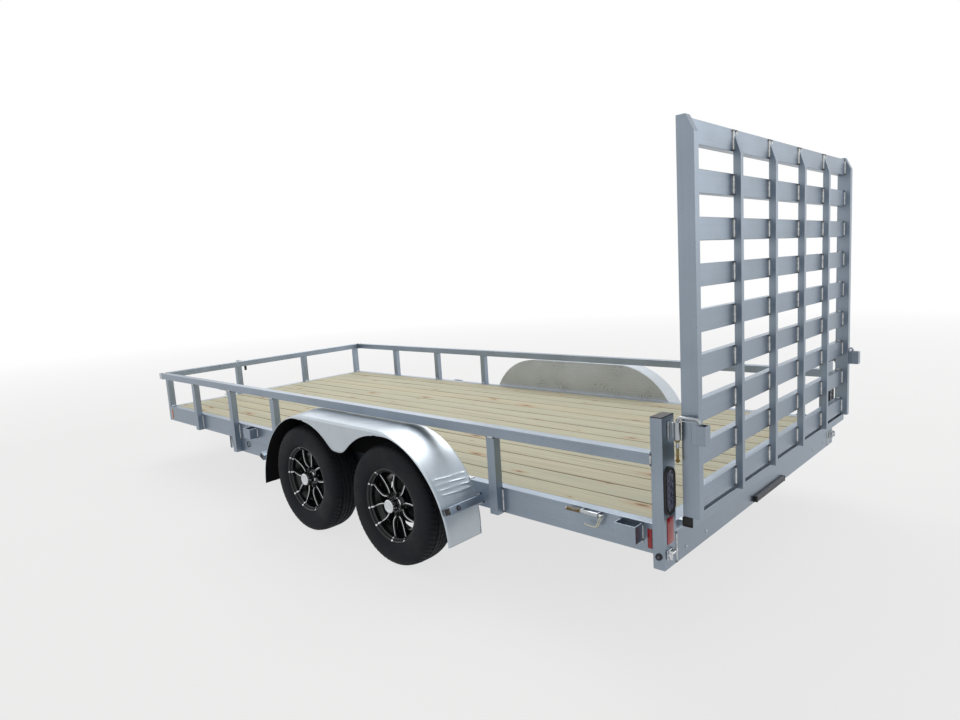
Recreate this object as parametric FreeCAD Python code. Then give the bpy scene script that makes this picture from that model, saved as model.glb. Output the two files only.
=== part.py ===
import FreeCAD, Part
import math
import os

# Tandem-axle utility trailer: welded aluminium frame, plank deck, tubular rails and a tall ramp gate.
# Millimetres. +X points forwards, +Y to the left and +Z up. The ground is z = 0 and the centre line is y = 0.
# While the pieces are made, x = 0 is the rear face of the rear posts. save() moves x to the part's origin,
# which is the middle of the bottom of the whole trailer's box.

Vector = FreeCAD.Vector
X_AXIS = Vector(1, 0, 0)
Y_AXIS = Vector(0, 1, 0)
Z_AXIS = Vector(0, 0, 1)

# Wheels and tyres
tyre_radius = 340.0
tyre_width = 198.0
tyre_wall = 14.0
tyre_flats = 44
tread_share = 0.68
shoulder_share = 0.92
shoulder_drop = 18.0
bead_width = 20.0
bead_radius = 190.0
rim_width = 152.0
rim_flange_radius = 208.0
rim_flange_thickness = 7.0
rim_wall = 6.0
rim_drop_radius = 158.0
spoke_count = 5
spoke_thickness = 16.0
spoke_dish = 40.0
spoke_disc_offset = 8.0
hub_face_radius = 72.0
hub_barrel_radius = 36.0
hub_cap_radius = 38.5
hub_cap_setback = 3.0
drum_radius = 132.0
drum_width = 52.0
drum_setback = 10.0
drum_wall = 8.0
spindle_radius = 19.0
hub_bore_past_face = 22.0
spindle_end_gap = 10.0
running_clearance = 0.05
fit_clearance = 0.3
wheel_to_frame_gap = 20.0
rear_axle_x = 1540.0
axle_spacing = 840.0

# Axles
axle_beam_size = 76.0
axle_beam_wall = 6.0
axle_pad_thickness = 4.0
axle_pad_length = 200.0
axle_arm_length = 152.0
axle_arm_thickness = 24.0
axle_arm_height = 64.0
backing_plate_thickness = 4.0
backing_plate_gap = 2.0

# Frame
deck_length = 4966.0
frame_half_width = 1070.0
frame_tube_width = 50.8
frame_tube_height = 129.0
frame_wall = 4.0
sill_depth = 80.0
sill_drop = 39.0
sill_bevel_depth = 14.0
sill_bevel_height = 33.0
cross_member_width = 50.8
cross_member_count = 11
cross_member_wall = 3.2

# Deck boards
board_width = 140.0
board_thickness = 38.0
board_count = 14

# Posts and rails. The rise of each is measured from the deck's top.
post_length = 50.8
post_depth = 44.0
post_wall = 3.2
post_toe = 3.0
rail_width = 50.8
rail_height = 50.0
rail_rise = 311.0
rail_wall = 3.2
post_behind_wheels = 625.0
post_ahead_of_wheels = 630.0
long_post_setback = 1311.0
front_side_post_setback = 656.0
front_corner_post_inset = 74.0
front_middle_post_spacing = 740.0

# Rear posts and their caps
rear_post_width = 100.0
rear_post_depth = 50.8
rear_post_wall = 4.0
rear_post_rise = 456.0
cap_height = 4.0
cap_chamfer = 1.5
cap_plug_depth = 18.0

# Beams under the side members, ahead of the wheels
under_beam_height = 97.0
under_beam_start = 320.0

# Tongue
tongue_beam_width = 50.8
tongue_beam_height = 102.0
tongue_half_angle = 25.0
tongue_length = 1034.0
tongue_reach_under_frame = 1276.0
tongue_wall = 5.0
coupler_length = 250.0
coupler_plate_length = 170.0
coupler_plate_thickness = 6.0
coupler_channel_height = 52.0
coupler_nose_half_width = 44.0
coupler_back_half_width = 52.0
coupler_back_setback = 60.0
ball_radius = 25.4
ball_clearance = 0.6
socket_depth = 28.0
chain_plate_size = 60.0
chain_plate_thickness = 10.0
chain_plate_setback = 120.0
chain_plate_lift = 20.0
chain_hole_radius = 9.5

# Jack
jack_setback = 250.0
jack_outer_radius = 28.5
jack_wall = 4.0
jack_drop = 142.0
jack_rise = 318.0
jack_flange_radius = 62.0
jack_flange_thickness = 8.0
jack_cap_height = 26.0
jack_cap_overhang = 4.0
jack_slide_clearance = 0.1
jack_leg_wall = 4.0
jack_travel = 220.0
jack_foot_radius = 76.0
jack_foot_thickness = 6.0
crank_rise = 14.0
crank_reach = 165.0
crank_rod_radius = 6.5
crank_bend_radius = 12.0
crank_grip_radius = 12.0
crank_grip_length = 95.0

# Fenders
fender_radius = 562.0
fender_half_spread = 345.0
fender_rise = 254.0
fender_hem = 108.0
fender_to_tyre_gap = 8.0
fender_inner_radius = 480.0
fender_skin = 3.0
fender_lip = 28.0
fender_gusset_width = 42.0
fender_rib_radius = 4.0
fender_rib_count = 4
fender_rib_lift = 246.0
fender_rib_pitch = 24.0
panel_thickness = 3.0
panel_flange_width = 38.0
support_lift = 38.0
support_width = 50.0
support_thickness = 40.0
support_tilt = 23.0
support_bite = 5.0
support_wall = 3.2

# Ramp gate. Its rises are measured from the deck's top.
gate_front = -43.0
gate_depth = 70.0
gate_overlap = 22.0
gate_side_width = 38.0
gate_rise = 1583.0
gate_bevel_length = 32.0
gate_bevel_drop = 66.0
rung_count = 9
rung_height = 88.9
rung_pitch = 177.8
rung_depth = 38.0
rung_wall = 3.2
rib_count = 4
rib_width = 25.4
rib_mitre_drop = 100.0
hinge_tube_depth = 44.0
hinge_tube_height = 40.0
hinge_tube_rise = 7.0
hinge_tube_lead = 3.0
hinge_tube_gap = 14.0
hinge_axis_x = -18.0
hinge_axis_drop = 11.0
knuckle_radius = 11.0
knuckle_length = 60.0
lug_length = 36.0
knuckle_gap = 1.5
hinge_pin_radius = 6.0
hinge_count = 5
hinge_end_inset = 136.0

# Gate latches. Their drops are measured from the top of the rear posts.
latch_rod_radius = 6.0
latch_to_gate_gap = 22.0
latch_rod_setback = 36.0
latch_hook_reach = 91.0
latch_rod_length = 204.0
latch_rod_drop = 1.0
latch_hook_length = 66.0
latch_bend_radius = 20.0
latch_block_depth = 46.0
latch_block_width = 32.0
latch_block_drop = 20.0
latch_block_height = 97.0
keeper_reach = 33.0
keeper_lead = 76.0
keeper_lip = 20.0
keeper_width = 43.0
keeper_drop = 22.0
keeper_height = 75.0
keeper_wall = 5.0

# Stake pockets and spring latches on the frame sides
pocket_length = 102.0
pocket_depth = 61.0
pocket_height = 75.0
pocket_wall = 5.0
pocket_top_drop = 6.0
pocket_rear_gap = 119.7
pocket_front_gap = 255.0
side_latch_gap = 269.2
side_latch_length = 90.0
side_latch_stand_off = 25.0
side_latch_barrel_radius = 12.5
side_latch_drop = 14.0
side_latch_rod_radius = 5.5
side_latch_rod_front = 80.0
side_latch_rod_rear = 20.0
side_latch_lug_thickness = 6.0
side_latch_handle_drop = 60.0
side_latch_handle_setback = 14.0
side_latch_handle_length = 100.0
side_latch_handle_width = 22.0
side_latch_handle_thickness = 5.0

# Lamps and reflectors
tail_lamp_height = 200.0
tail_lamp_width = 56.0
tail_lamp_drop = 303.0
tail_lamp_proud = 9.0
tail_lamp_rim = 6.0
tail_lamp_depth = 24.0
reflector_thickness = 2.5
rear_reflector_width = 50.0
rear_reflector_height = 110.0
rear_reflector_lift = 157.0
side_reflector_width = 21.0
side_reflector_height = 83.0
side_reflector_lift = 62.0
rear_side_reflector_gap = 37.0
front_side_reflector_setback = 36.0
marker_radius = 14.0
marker_proud = 9.0
marker_lift = 55.0
bar_lamp_half_length = 220.0
bar_lamp_height = 34.0
bar_lamp_depth = 20.0
bar_lamp_lift = 4.0

# Sizes that follow from the ones above
front_axle_x = rear_axle_x + axle_spacing
axle_places = (("rear", rear_axle_x), ("front", front_axle_x))
sides = (("left", 1), ("right", -1))
wheel_middle_y = frame_half_width + wheel_to_frame_gap + tyre_width / 2
frame_bottom = tyre_radius + axle_beam_size / 2 + axle_pad_thickness
frame_top = frame_bottom + frame_tube_height
frame_inner = frame_half_width - frame_tube_width
sill_bottom = frame_bottom - sill_drop
rail_outer = frame_half_width + post_depth
rail_top = frame_top + rail_rise
rail_bottom = rail_top - rail_height
rail_front = deck_length + post_depth
long_post_x = deck_length - long_post_setback
side_post_places = (rear_axle_x - post_behind_wheels, front_axle_x + post_ahead_of_wheels, long_post_x,
                    deck_length - front_side_post_setback)
front_post_places = (front_middle_post_spacing / 2, rail_outer - front_corner_post_inset)
rear_post_inner = rail_outer - rear_post_width
rear_post_top = frame_top + rear_post_rise
post_middle_y = rail_outer - rear_post_width / 2
under_beam_bottom = frame_bottom - under_beam_height
tongue_bottom = frame_bottom - tongue_beam_height
tongue_apex_x = deck_length + tongue_length
coupler_nose_x = tongue_apex_x + coupler_length
ball_x = coupler_nose_x - coupler_nose_half_width
ball_z = frame_bottom + socket_depth
jack_x = tongue_apex_x - jack_setback
jack_bottom = frame_bottom - jack_drop
jack_top = frame_bottom + jack_rise
jack_bore = jack_outer_radius - jack_wall
jack_leg_radius = jack_bore - jack_slide_clearance
fender_middle_x = rear_axle_x + axle_spacing / 2
fender_top = frame_top + fender_rise
fender_bottom = tyre_radius - fender_hem
fender_centre_z = fender_top - fender_radius
fender_outer_y = wheel_middle_y + tyre_width / 2 + fender_to_tyre_gap + fender_skin
support_height = frame_bottom + support_lift
gate_rear = gate_front - gate_depth
gate_half_width = rear_post_inner + gate_overlap
gate_side_inner = gate_half_width - gate_side_width
gate_top = frame_top + gate_rise
hinge_tube_bottom = frame_top + hinge_tube_rise
hinge_tube_top = hinge_tube_bottom + hinge_tube_height
hinge_tube_front = gate_front + hinge_tube_lead
hinge_axis_z = frame_top - hinge_axis_drop
latch_rod_y = gate_half_width + latch_to_gate_gap
latch_rod_x = -latch_rod_setback
latch_hook_x = latch_rod_x - latch_hook_reach
keeper_rear = latch_hook_x - keeper_reach
pocket_places = (rear_post_depth + pocket_rear_gap, long_post_x - pocket_front_gap)
origin_x = (coupler_nose_x + keeper_rear) / 2


# Helpers

def box(x0, x1, y0, y1, z0, z1):
    """Block between two corners."""
    return Part.makeBox(x1 - x0, y1 - y0, z1 - z0, Vector(x0, y0, z0))


def tube_x(x0, x1, y0, y1, z0, z1, wall):
    """Rectangular tube whose open ends face along X."""
    inner = box(x0 - 1, x1 + 1, y0 + wall, y1 - wall, z0 + wall, z1 - wall)
    return box(x0, x1, y0, y1, z0, z1).cut(inner)


def tube_y(x0, x1, y0, y1, z0, z1, wall):
    """Rectangular tube whose open ends face along Y."""
    inner = box(x0 + wall, x1 - wall, y0 - 1, y1 + 1, z0 + wall, z1 - wall)
    return box(x0, x1, y0, y1, z0, z1).cut(inner)


def tube_z(x0, x1, y0, y1, z0, z1, wall):
    """Rectangular tube whose open ends face up and down."""
    inner = box(x0 + wall, x1 - wall, y0 + wall, y1 - wall, z0 - 1, z1 + 1)
    return box(x0, x1, y0, y1, z0, z1).cut(inner)


def cylinder(radius, start, end):
    """Round bar from one point to another."""
    direction = end - start
    return Part.makeCylinder(radius, direction.Length, start, direction)


def side_profile(points, y0, y1):
    """Polygon of (x, z) points in the side view, carried from y0 to y1."""
    wire = Part.makePolygon([Vector(x, y0, z) for x, z in points + points[:1]])
    return Part.Face(wire).extrude(Vector(0, y1 - y0, 0))


def plan_profile(points, z0, z1):
    """Polygon of (x, y) points in the plan view, carried from z0 to z1."""
    wire = Part.makePolygon([Vector(x, y, z0) for x, y in points + points[:1]])
    return Part.Face(wire).extrude(Vector(0, 0, z1 - z0))


def revolved(points, centre):
    """Closed polygon of (radius, y) points, turned about the Y axis through centre."""
    ring = [Vector(radius, y, 0) for radius, y in points + points[:1]]
    solid = Part.Face(Part.makePolygon(ring)).revolve(Vector(0, 0, 0), Y_AXIS, 360)
    solid.translate(centre)
    return solid


def fused(pieces):
    """One solid from pieces that touch or overlap."""
    return pieces[0].multiFuse(pieces[1:]).removeSplitter()


def mirrored(shape):
    """Copy on the other side of the centre line."""
    return shape.mirror(Vector(0, 0, 0), Y_AXIS)


def both(shapes):
    """The shapes and their copies on the other side."""
    return shapes + [mirrored(shape) for shape in shapes]


def on_side(shape, sign):
    """A shape made on the left, kept there or mirrored to the right."""
    if sign > 0:
        return shape
    return mirrored(shape)


def rod_path(points, bend, radius):
    """Round rod along straight runs in one plane, joined by arcs of one bend radius."""
    edges = []
    start = points[0]
    for before, corner, after in zip(points, points[1:], points[2:]):
        back = (before - corner).normalize()
        ahead = (after - corner).normalize()
        half = back.getAngle(ahead) / 2
        reach = bend / math.tan(half)
        middle = corner + (back + ahead).normalize() * (bend / math.sin(half) - bend)
        first = corner + back * reach
        last = corner + ahead * reach
        edges.append(Part.LineSegment(start, first).toShape())
        edges.append(Part.Arc(first, middle, last).toShape())
        start = last
    edges.append(Part.LineSegment(start, points[-1]).toShape())
    direction = points[1] - points[0]
    section = Part.Wire(Part.makeCircle(radius, points[0], direction))
    return Part.Wire(edges).makePipeShell([section], True, True)


def save(node, shapes):
    """Write one node's solids at their place from the part's origin."""
    solids = []
    for shape in shapes:
        solids += shape.Solids
    group = Part.makeCompound(solids)
    group.translate(Vector(-origin_x, 0, 0))
    group.exportStep("parts/" + node + ".step")


# Frame and deck

def make_frame():
    """Side members, front member, rear sill and cross members."""
    member = tube_x(rear_post_depth, deck_length, frame_inner, frame_half_width,
                    frame_bottom, frame_top, frame_wall)
    save("side_members", both([member]))
    front = tube_y(deck_length - frame_tube_width, deck_length, -frame_inner, frame_inner,
                   frame_bottom, frame_top, frame_wall)
    save("front_member", [front])
    save("rear_sill", [make_sill()])
    save("cross_members", make_cross_members())


def sill_outline(inset):
    """Rear sill's section: flat rear face, bevelled upper corner and flat top."""
    bevel_low = frame_top - sill_bevel_height
    return [(inset, sill_bottom + inset), (inset, bevel_low - inset / 4),
            (sill_bevel_depth + inset / 2, frame_top - inset), (sill_depth - inset, frame_top - inset),
            (sill_depth - inset, sill_bottom + inset)]


def make_sill():
    """Hollow sill between the rear posts."""
    outer = side_profile(sill_outline(0), -rear_post_inner, rear_post_inner)
    inner = side_profile(sill_outline(frame_wall), -rear_post_inner - 1, rear_post_inner + 1)
    return outer.cut(inner)


def make_cross_members():
    """Evenly spaced tubes between the side members, under the boards."""
    first = sill_depth + cross_member_width
    last = deck_length - frame_tube_width - 2 * cross_member_width
    pitch = (last - first) / (cross_member_count - 1)
    members = []
    for index in range(cross_member_count):
        x = first + index * pitch
        members.append(tube_y(x, x + cross_member_width, -frame_inner, frame_inner,
                              frame_bottom, frame_top - board_thickness, cross_member_wall))
    return members


def make_boards():
    """Planks laid lengthwise between the side members, with an even gap."""
    pitch = 2 * frame_inner / board_count
    boards = []
    for index in range(board_count):
        y = -frame_inner + (index + 0.5) * pitch
        boards.append(box(sill_depth, deck_length - frame_tube_width, y - board_width / 2,
                          y + board_width / 2, frame_top - board_thickness, frame_top))
    save("deck_boards", boards)


def make_posts():
    """Posts outside the frame, under the rails, and the front posts ahead of the front member."""
    low = frame_bottom - post_toe
    posts = []
    for x in side_post_places:
        bottom = under_beam_bottom if x == long_post_x else low
        posts.append(tube_z(x - post_length / 2, x + post_length / 2, frame_half_width, rail_outer,
                            bottom, rail_bottom, post_wall))
    for y in front_post_places:
        posts.append(tube_z(deck_length, rail_front, y - post_length / 2, y + post_length / 2,
                            low, rail_bottom, post_wall))
    save("rail_posts", both(posts))


def make_rails():
    """Side rails from the rear posts to the front rail, which runs across them."""
    corner = rail_front - rail_width
    left = tube_x(rear_post_depth, corner, rail_outer - rail_width, rail_outer,
                  rail_bottom, rail_top, rail_wall)
    front = tube_y(corner, rail_front, -rail_outer, rail_outer, rail_bottom, rail_top, rail_wall)
    save("rail_left", [left])
    save("rail_right", [mirrored(left)])
    save("rail_front", [front])


def oval(x0, x1, y, z, width, height):
    """Upright slot shape with round ends, standing on a face across X."""
    radius = width / 2
    reach = height / 2 - radius
    ends = [cylinder(radius, Vector(x0, y, z + end * reach), Vector(x1, y, z + end * reach))
            for end in (1, -1)]
    return fused(ends + [box(x0, x1, y - radius, y + radius, z - reach, z + reach)])


def make_rear_posts():
    """Tall rear posts with the tail lamp's hole, and the plastic caps on them."""
    post = tube_z(0, rear_post_depth, rear_post_inner, rail_outer,
                  sill_bottom, rear_post_top, rear_post_wall)
    hole = oval(-1, rear_post_wall + 1, post_middle_y, rear_post_top - tail_lamp_drop,
                tail_lamp_width - 2 * tail_lamp_rim, tail_lamp_height - 2 * tail_lamp_rim)
    save("rear_posts", both([post.cut(hole)]))
    inset = rear_post_wall + fit_clearance
    top = box(0, rear_post_depth, rear_post_inner, rail_outer, rear_post_top, rear_post_top + cap_height)
    top = top.makeChamfer(cap_chamfer, [edge for edge in top.Edges
                                if edge.BoundBox.ZMin > rear_post_top + cap_height / 2])
    plug = box(inset, rear_post_depth - inset, rear_post_inner + inset, rail_outer - inset,
               rear_post_top - cap_plug_depth, rear_post_top)
    save("post_caps", both([fused([top, plug])]))


def make_under_beams():
    """Beams under the side members, flush with their outer faces."""
    beam = tube_x(front_axle_x + under_beam_start, long_post_x + post_length / 2,
                  frame_inner, frame_half_width, under_beam_bottom, frame_bottom, frame_wall)
    save("under_beams", both([beam]))


# Tongue and jack

def tongue_point(along, across):
    """Plan point measured from the apex, back along the left beam and outwards across it."""
    angle = math.radians(tongue_half_angle)
    return (tongue_apex_x - along * math.cos(angle) + across * math.sin(angle),
            along * math.sin(angle) + across * math.cos(angle))


def tongue_prism(along0, along1, across0, across1, z0, z1):
    """Block that lies along the left tongue beam."""
    corners = [tongue_point(along0, across0), tongue_point(along1, across0),
               tongue_point(along1, across1), tongue_point(along0, across1)]
    return plan_profile(corners, z0, z1)


def make_tongue():
    """Two beams from the side members' undersides to the coupler, mitred at the centre line."""
    angle = math.radians(tongue_half_angle)
    length = frame_inner / math.sin(angle)
    beam = tongue_prism(-tongue_beam_width, length, 0, tongue_beam_width, tongue_bottom, frame_bottom)
    wall = tongue_wall
    bore = tongue_prism(-2 * tongue_beam_width, length + 1, wall, tongue_beam_width - wall,
                        tongue_bottom + wall, frame_bottom - wall)
    rear_cut = box(0, deck_length - tongue_reach_under_frame, 0, 2 * frame_half_width,
                   tongue_bottom - 1, frame_bottom + 1)
    outer_cut = box(0, tongue_apex_x, frame_half_width, 2 * frame_half_width,
                    tongue_bottom - 1, frame_bottom + 1)
    nose_cut = box(tongue_apex_x, coupler_nose_x, -frame_half_width, frame_half_width,
                   tongue_bottom - 1, frame_bottom + 1)
    mitre_cut = box(0, coupler_nose_x, -frame_half_width, fit_clearance / 2,
                    tongue_bottom - 1, frame_bottom + 1)
    beam = beam.cut(bore).cut(rear_cut).cut(outer_cut).cut(nose_cut).cut(mitre_cut)
    save("tongue_beams", both([beam]))
    low = tongue_bottom + chain_plate_lift
    plate = tongue_prism(chain_plate_setback, chain_plate_setback + chain_plate_size, tongue_beam_width,
                         tongue_beam_width + chain_plate_size, low, low + chain_plate_thickness)
    x, y = tongue_point(chain_plate_setback + chain_plate_size / 2, tongue_beam_width + chain_plate_size / 2)
    hole = cylinder(chain_hole_radius, Vector(x, y, tongue_bottom), Vector(x, y, frame_bottom))
    save("chain_plates", both([plate.cut(hole)]))


def make_coupler():
    """Pressed coupler on the apex: top plate over both beams, tapered channel, ball socket and latch lever."""
    outer = [tongue_point(coupler_plate_length, tongue_beam_width), tongue_point(0, tongue_beam_width)]
    plan = outer + [(x, -y) for x, y in reversed(outer)]
    plate = plan_profile(plan, frame_bottom, frame_bottom + coupler_plate_thickness)
    back_x = tongue_apex_x - coupler_back_setback
    top = frame_bottom + coupler_channel_height
    nose = plan_profile([(back_x, -coupler_back_half_width), (ball_x, -coupler_nose_half_width),
                         (ball_x, coupler_nose_half_width), (back_x, coupler_back_half_width)],
                        frame_bottom, top)
    tip = cylinder(coupler_nose_half_width, Vector(ball_x, 0, frame_bottom), Vector(ball_x, 0, top))
    socket_radius = ball_radius + ball_clearance
    centre = Vector(ball_x, 0, ball_z)
    dome = Part.makeSphere(socket_radius + 2 * coupler_plate_thickness, centre)
    dome = dome.cut(box(ball_x - socket_radius * 2, ball_x + socket_radius * 2, -socket_radius * 2,
                        socket_radius * 2, 0, frame_bottom))
    mouth = cylinder(socket_radius, Vector(ball_x, 0, frame_bottom - 1), centre)
    body = fused([plate, nose, tip, dome]).cut(Part.makeSphere(socket_radius, centre)).cut(mouth)
    lever = side_profile([(back_x + 40, top), (back_x + 120, top), (back_x + 108, top + 24),
                          (back_x - 16, top + 40), (back_x - 16, top + 30), (back_x + 36, top + 18)], -9, 9)
    save("coupler", [fused([body, lever])])


def make_jack():
    """Jack tube with its flange and top crank, and the sliding leg with its foot."""
    flange_low = frame_bottom + coupler_plate_thickness
    tube = Part.makeCylinder(jack_outer_radius, jack_top - jack_bottom, Vector(jack_x, 0, jack_bottom))
    bore = Part.makeCylinder(jack_bore, jack_top - jack_bottom - jack_wall,
                             Vector(jack_x, 0, jack_bottom))
    half = (tongue_apex_x - jack_x) * math.tan(math.radians(tongue_half_angle)) + tongue_beam_width
    plate = box(jack_x - jack_flange_radius, jack_x + jack_flange_radius, -half, half,
                frame_bottom, flange_low)
    flange = Part.makeCylinder(jack_flange_radius, jack_flange_thickness, Vector(jack_x, 0, flange_low))
    cap = Part.makeCylinder(jack_outer_radius + jack_cap_overhang, jack_cap_height,
                            Vector(jack_x, 0, jack_top))
    outer = fused([tube, plate, flange]).cut(bore)
    crank_z = jack_top + jack_cap_height + crank_rise
    start = Vector(jack_x, 0, jack_top + jack_cap_height / 2)
    grip_x = jack_x - crank_reach
    points = [start, Vector(jack_x, 0, crank_z), Vector(grip_x, 0, crank_z),
              Vector(grip_x, 0, crank_z - crank_grip_length)]
    crank = rod_path(points, crank_bend_radius, crank_rod_radius)
    grip = Part.makeCylinder(crank_grip_radius, crank_grip_length - 2 * crank_bend_radius,
                             Vector(grip_x, 0, crank_z - crank_grip_length))
    save("jack_body", [fused([outer, cap, crank, grip])])
    leg_top = jack_top - 2 * jack_wall - jack_travel
    leg = Part.makeCylinder(jack_leg_radius, leg_top - jack_foot_thickness,
                            Vector(jack_x, 0, jack_foot_thickness))
    leg_bore = Part.makeCylinder(jack_leg_radius - jack_leg_wall, leg_top,
                                 Vector(jack_x, 0, jack_foot_thickness))
    foot = Part.makeCylinder(jack_foot_radius, jack_foot_thickness, Vector(jack_x, 0, 0))
    save("jack_leg", [fused([leg.cut(leg_bore), foot])])


# Axles and wheels

def make_axles():
    """Square axle beams bolted under the side members, with level trailing arms and spindles."""
    beams = []
    arms = []
    for name, x in axle_places:
        beam_x = x + axle_arm_length
        half = axle_beam_size / 2
        beam = tube_y(beam_x - half, beam_x + half, -frame_inner, frame_inner,
                      tyre_radius - half, tyre_radius + half, axle_beam_wall)
        pads = [box(beam_x - axle_pad_length / 2, beam_x + axle_pad_length / 2,
                    frame_inner - axle_pad_length / 4, frame_half_width,
                    tyre_radius + half, frame_bottom)]
        beams.append(fused([beam] + both(pads)))
        arms.append(make_arm(x, beam_x))
    save("axle_beams", beams)
    save("torsion_arms", both(arms))


def make_arm(x, beam_x):
    """One arm: a bar with round ends beside the beam's end, the spindle and the brake's back plate."""
    inner = frame_inner
    outer = inner + axle_arm_thickness
    radius = axle_arm_height / 2
    ends = [cylinder(radius, Vector(place, inner, tyre_radius), Vector(place, outer, tyre_radius))
            for place in (x, beam_x)]
    bar = box(x, beam_x, inner, outer, tyre_radius - radius, tyre_radius + radius)
    plate_y = wheel_middle_y - rim_width / 2 - drum_setback - backing_plate_gap - backing_plate_thickness
    spindle = cylinder(spindle_radius, Vector(x, outer, tyre_radius),
                       Vector(x, wheel_middle_y + spoke_disc_offset + hub_bore_past_face - spindle_end_gap,
                              tyre_radius))
    plate = cylinder(drum_radius - drum_wall, Vector(x, plate_y, tyre_radius),
                     Vector(x, plate_y + backing_plate_thickness, tyre_radius))
    return fused(ends + [bar, spindle, plate])


def tyre_section():
    """Open tyre section as (radius, y) points: tread, shoulders, bulged walls, beads and inner wall."""
    half = tyre_width / 2
    bead = bead_radius + fit_clearance
    flange = rim_flange_radius + fit_clearance
    bead_y = rim_width / 2 - fit_clearance
    middle = (tyre_radius + bead_radius) / 2
    left = [(tyre_radius, half * tread_share), (tyre_radius - shoulder_drop, half * shoulder_share),
            (middle, half), (flange, bead_y + rim_flange_thickness), (flange, bead_y), (bead, bead_y),
            (bead, bead_y - bead_width), (tyre_radius - 2 * tyre_wall, half - tyre_wall)]
    return left + [(radius, -y) for radius, y in reversed(left)]


def ring_of_flats(section, count):
    """Ring of (radius, y) points with count flats. Each radius is measured to the middle of a flat."""
    corner = 1 / math.cos(math.pi / count)
    turns = [(2 * index + 1) * math.pi / count for index in range(count)]
    rings = [[Vector(radius * corner * math.sin(turn), y, -radius * corner * math.cos(turn))
              for radius, y in section] for turn in turns]
    faces = []
    for here, there in zip(rings, rings[1:] + rings[:1]):
        for index in range(len(section)):
            after = (index + 1) % len(section)
            loop = [here[index], here[after], there[after], there[index], here[index]]
            faces.append(Part.Face(Part.makePolygon(loop)))
    ring = Part.Solid(Part.Shell(faces))
    if ring.Volume < 0:
        ring.reverse()
    return ring


def rim_section():
    """Wheel rim section as (radius, y) points: flanges, bead seats and drop centre."""
    half = rim_width / 2
    flange = half + rim_flange_thickness
    seat = bead_radius
    upper = [(rim_flange_radius, flange), (rim_flange_radius, half), (seat, half), (seat, half - 32),
             (rim_drop_radius + rim_wall, half - 62), (rim_drop_radius + rim_wall, -half + 40),
             (seat, -half + 24), (seat, -half), (rim_flange_radius, -half), (rim_flange_radius, -flange)]
    lower = [(seat - rim_wall, -flange), (seat - rim_wall, -half + 24), (rim_drop_radius, -half + 42),
             (rim_drop_radius, half - 62), (seat - rim_wall, half - 30), (seat - rim_wall, flange)]
    return upper + lower


def make_spokes():
    """Forked spokes from the hub face to the rim's outer edge, cut from one dished disc."""
    inner_y = 0.0
    outer_y = spoke_dish
    reach = bead_radius - rim_wall + 1
    dish = [(0, inner_y), (hub_face_radius, inner_y), (reach, outer_y), (reach, outer_y + spoke_thickness),
            (hub_face_radius, inner_y + spoke_thickness), (0, inner_y + spoke_thickness)]
    disc = revolved(dish, Vector(0, 0, 0))
    cuts = []
    step = 360.0 / spoke_count
    for index in range(spoke_count):
        cuts.append(spoke_window(index * step + step / 2, 15.5, 58.0))
        cuts.append(spoke_window(index * step, 7.0, 104.0))
    return disc.cut(fused_tools(cuts))


def fused_tools(tools):
    """Cutting tools as one shape."""
    return tools[0].multiFuse(tools[1:])


def spoke_window(angle, half_angle, inner_radius):
    """Wedge between two spokes, with its narrow end towards the hub."""
    outer_radius = bead_radius - rim_wall - 9
    points = []
    for radius, spread in ((inner_radius, 0.35), (outer_radius, 1.0), (outer_radius, -1.0),
                           (inner_radius, -0.35)):
        turn = math.radians(angle + spread * half_angle)
        points.append((radius * math.cos(turn), radius * math.sin(turn)))
    return side_profile(points, -5, spoke_dish + spoke_thickness + 5)


def make_wheels():
    """Tyre, rim and hub of each wheel, each its own node."""
    tyre = ring_of_flats(tyre_section(), tyre_flats)
    spokes = make_spokes()
    spokes.translate(Vector(0, spoke_disc_offset, 0))
    bore = cylinder(hub_barrel_radius + fit_clearance, Vector(0, -5, 0), Vector(0, 60, 0))
    rim = fused([revolved(rim_section(), Vector(0, 0, 0)), spokes]).cut(bore)
    hub = make_hub(spoke_disc_offset)
    for side, sign in sides:
        for place, x in axle_places:
            for name, solid in (("tyre", tyre), ("rim", rim), ("hub", hub)):
                copy = solid.copy()
                copy.translate(Vector(x, wheel_middle_y, tyre_radius))
                save(name + "_" + place + "_" + side, [on_side(copy, sign)])


def make_hub(face_y):
    """Hub with brake drum, mounting flange and domed cap, bored for the spindle."""
    drum_back = -rim_width / 2 - drum_setback
    drum_front = drum_back + drum_width
    wall = drum_wall
    cap_end = tyre_width / 2 - hub_cap_setback
    bore_end = face_y + hub_bore_past_face
    profile = [(0, bore_end), (0, cap_end), (hub_cap_radius * 0.55, cap_end - 2.5),
               (hub_cap_radius * 0.9, cap_end - 10), (hub_cap_radius * 0.93, face_y + spoke_thickness + 2),
               (hub_barrel_radius, face_y + spoke_thickness + 2), (hub_barrel_radius, face_y),
               (hub_face_radius, face_y), (hub_face_radius, face_y - 9), (hub_barrel_radius + 4, face_y - 14),
               (hub_barrel_radius + 4, drum_front), (drum_radius, drum_front), (drum_radius, drum_back),
               (drum_radius - wall, drum_back), (drum_radius - wall, drum_front - wall),
               (hub_barrel_radius, drum_front - wall), (hub_barrel_radius, drum_back + 12),
               (spindle_radius + running_clearance, drum_back + 12),
               (spindle_radius + running_clearance, bore_end)]
    return revolved(profile, Vector(0, 0, 0))


# Fenders

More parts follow.
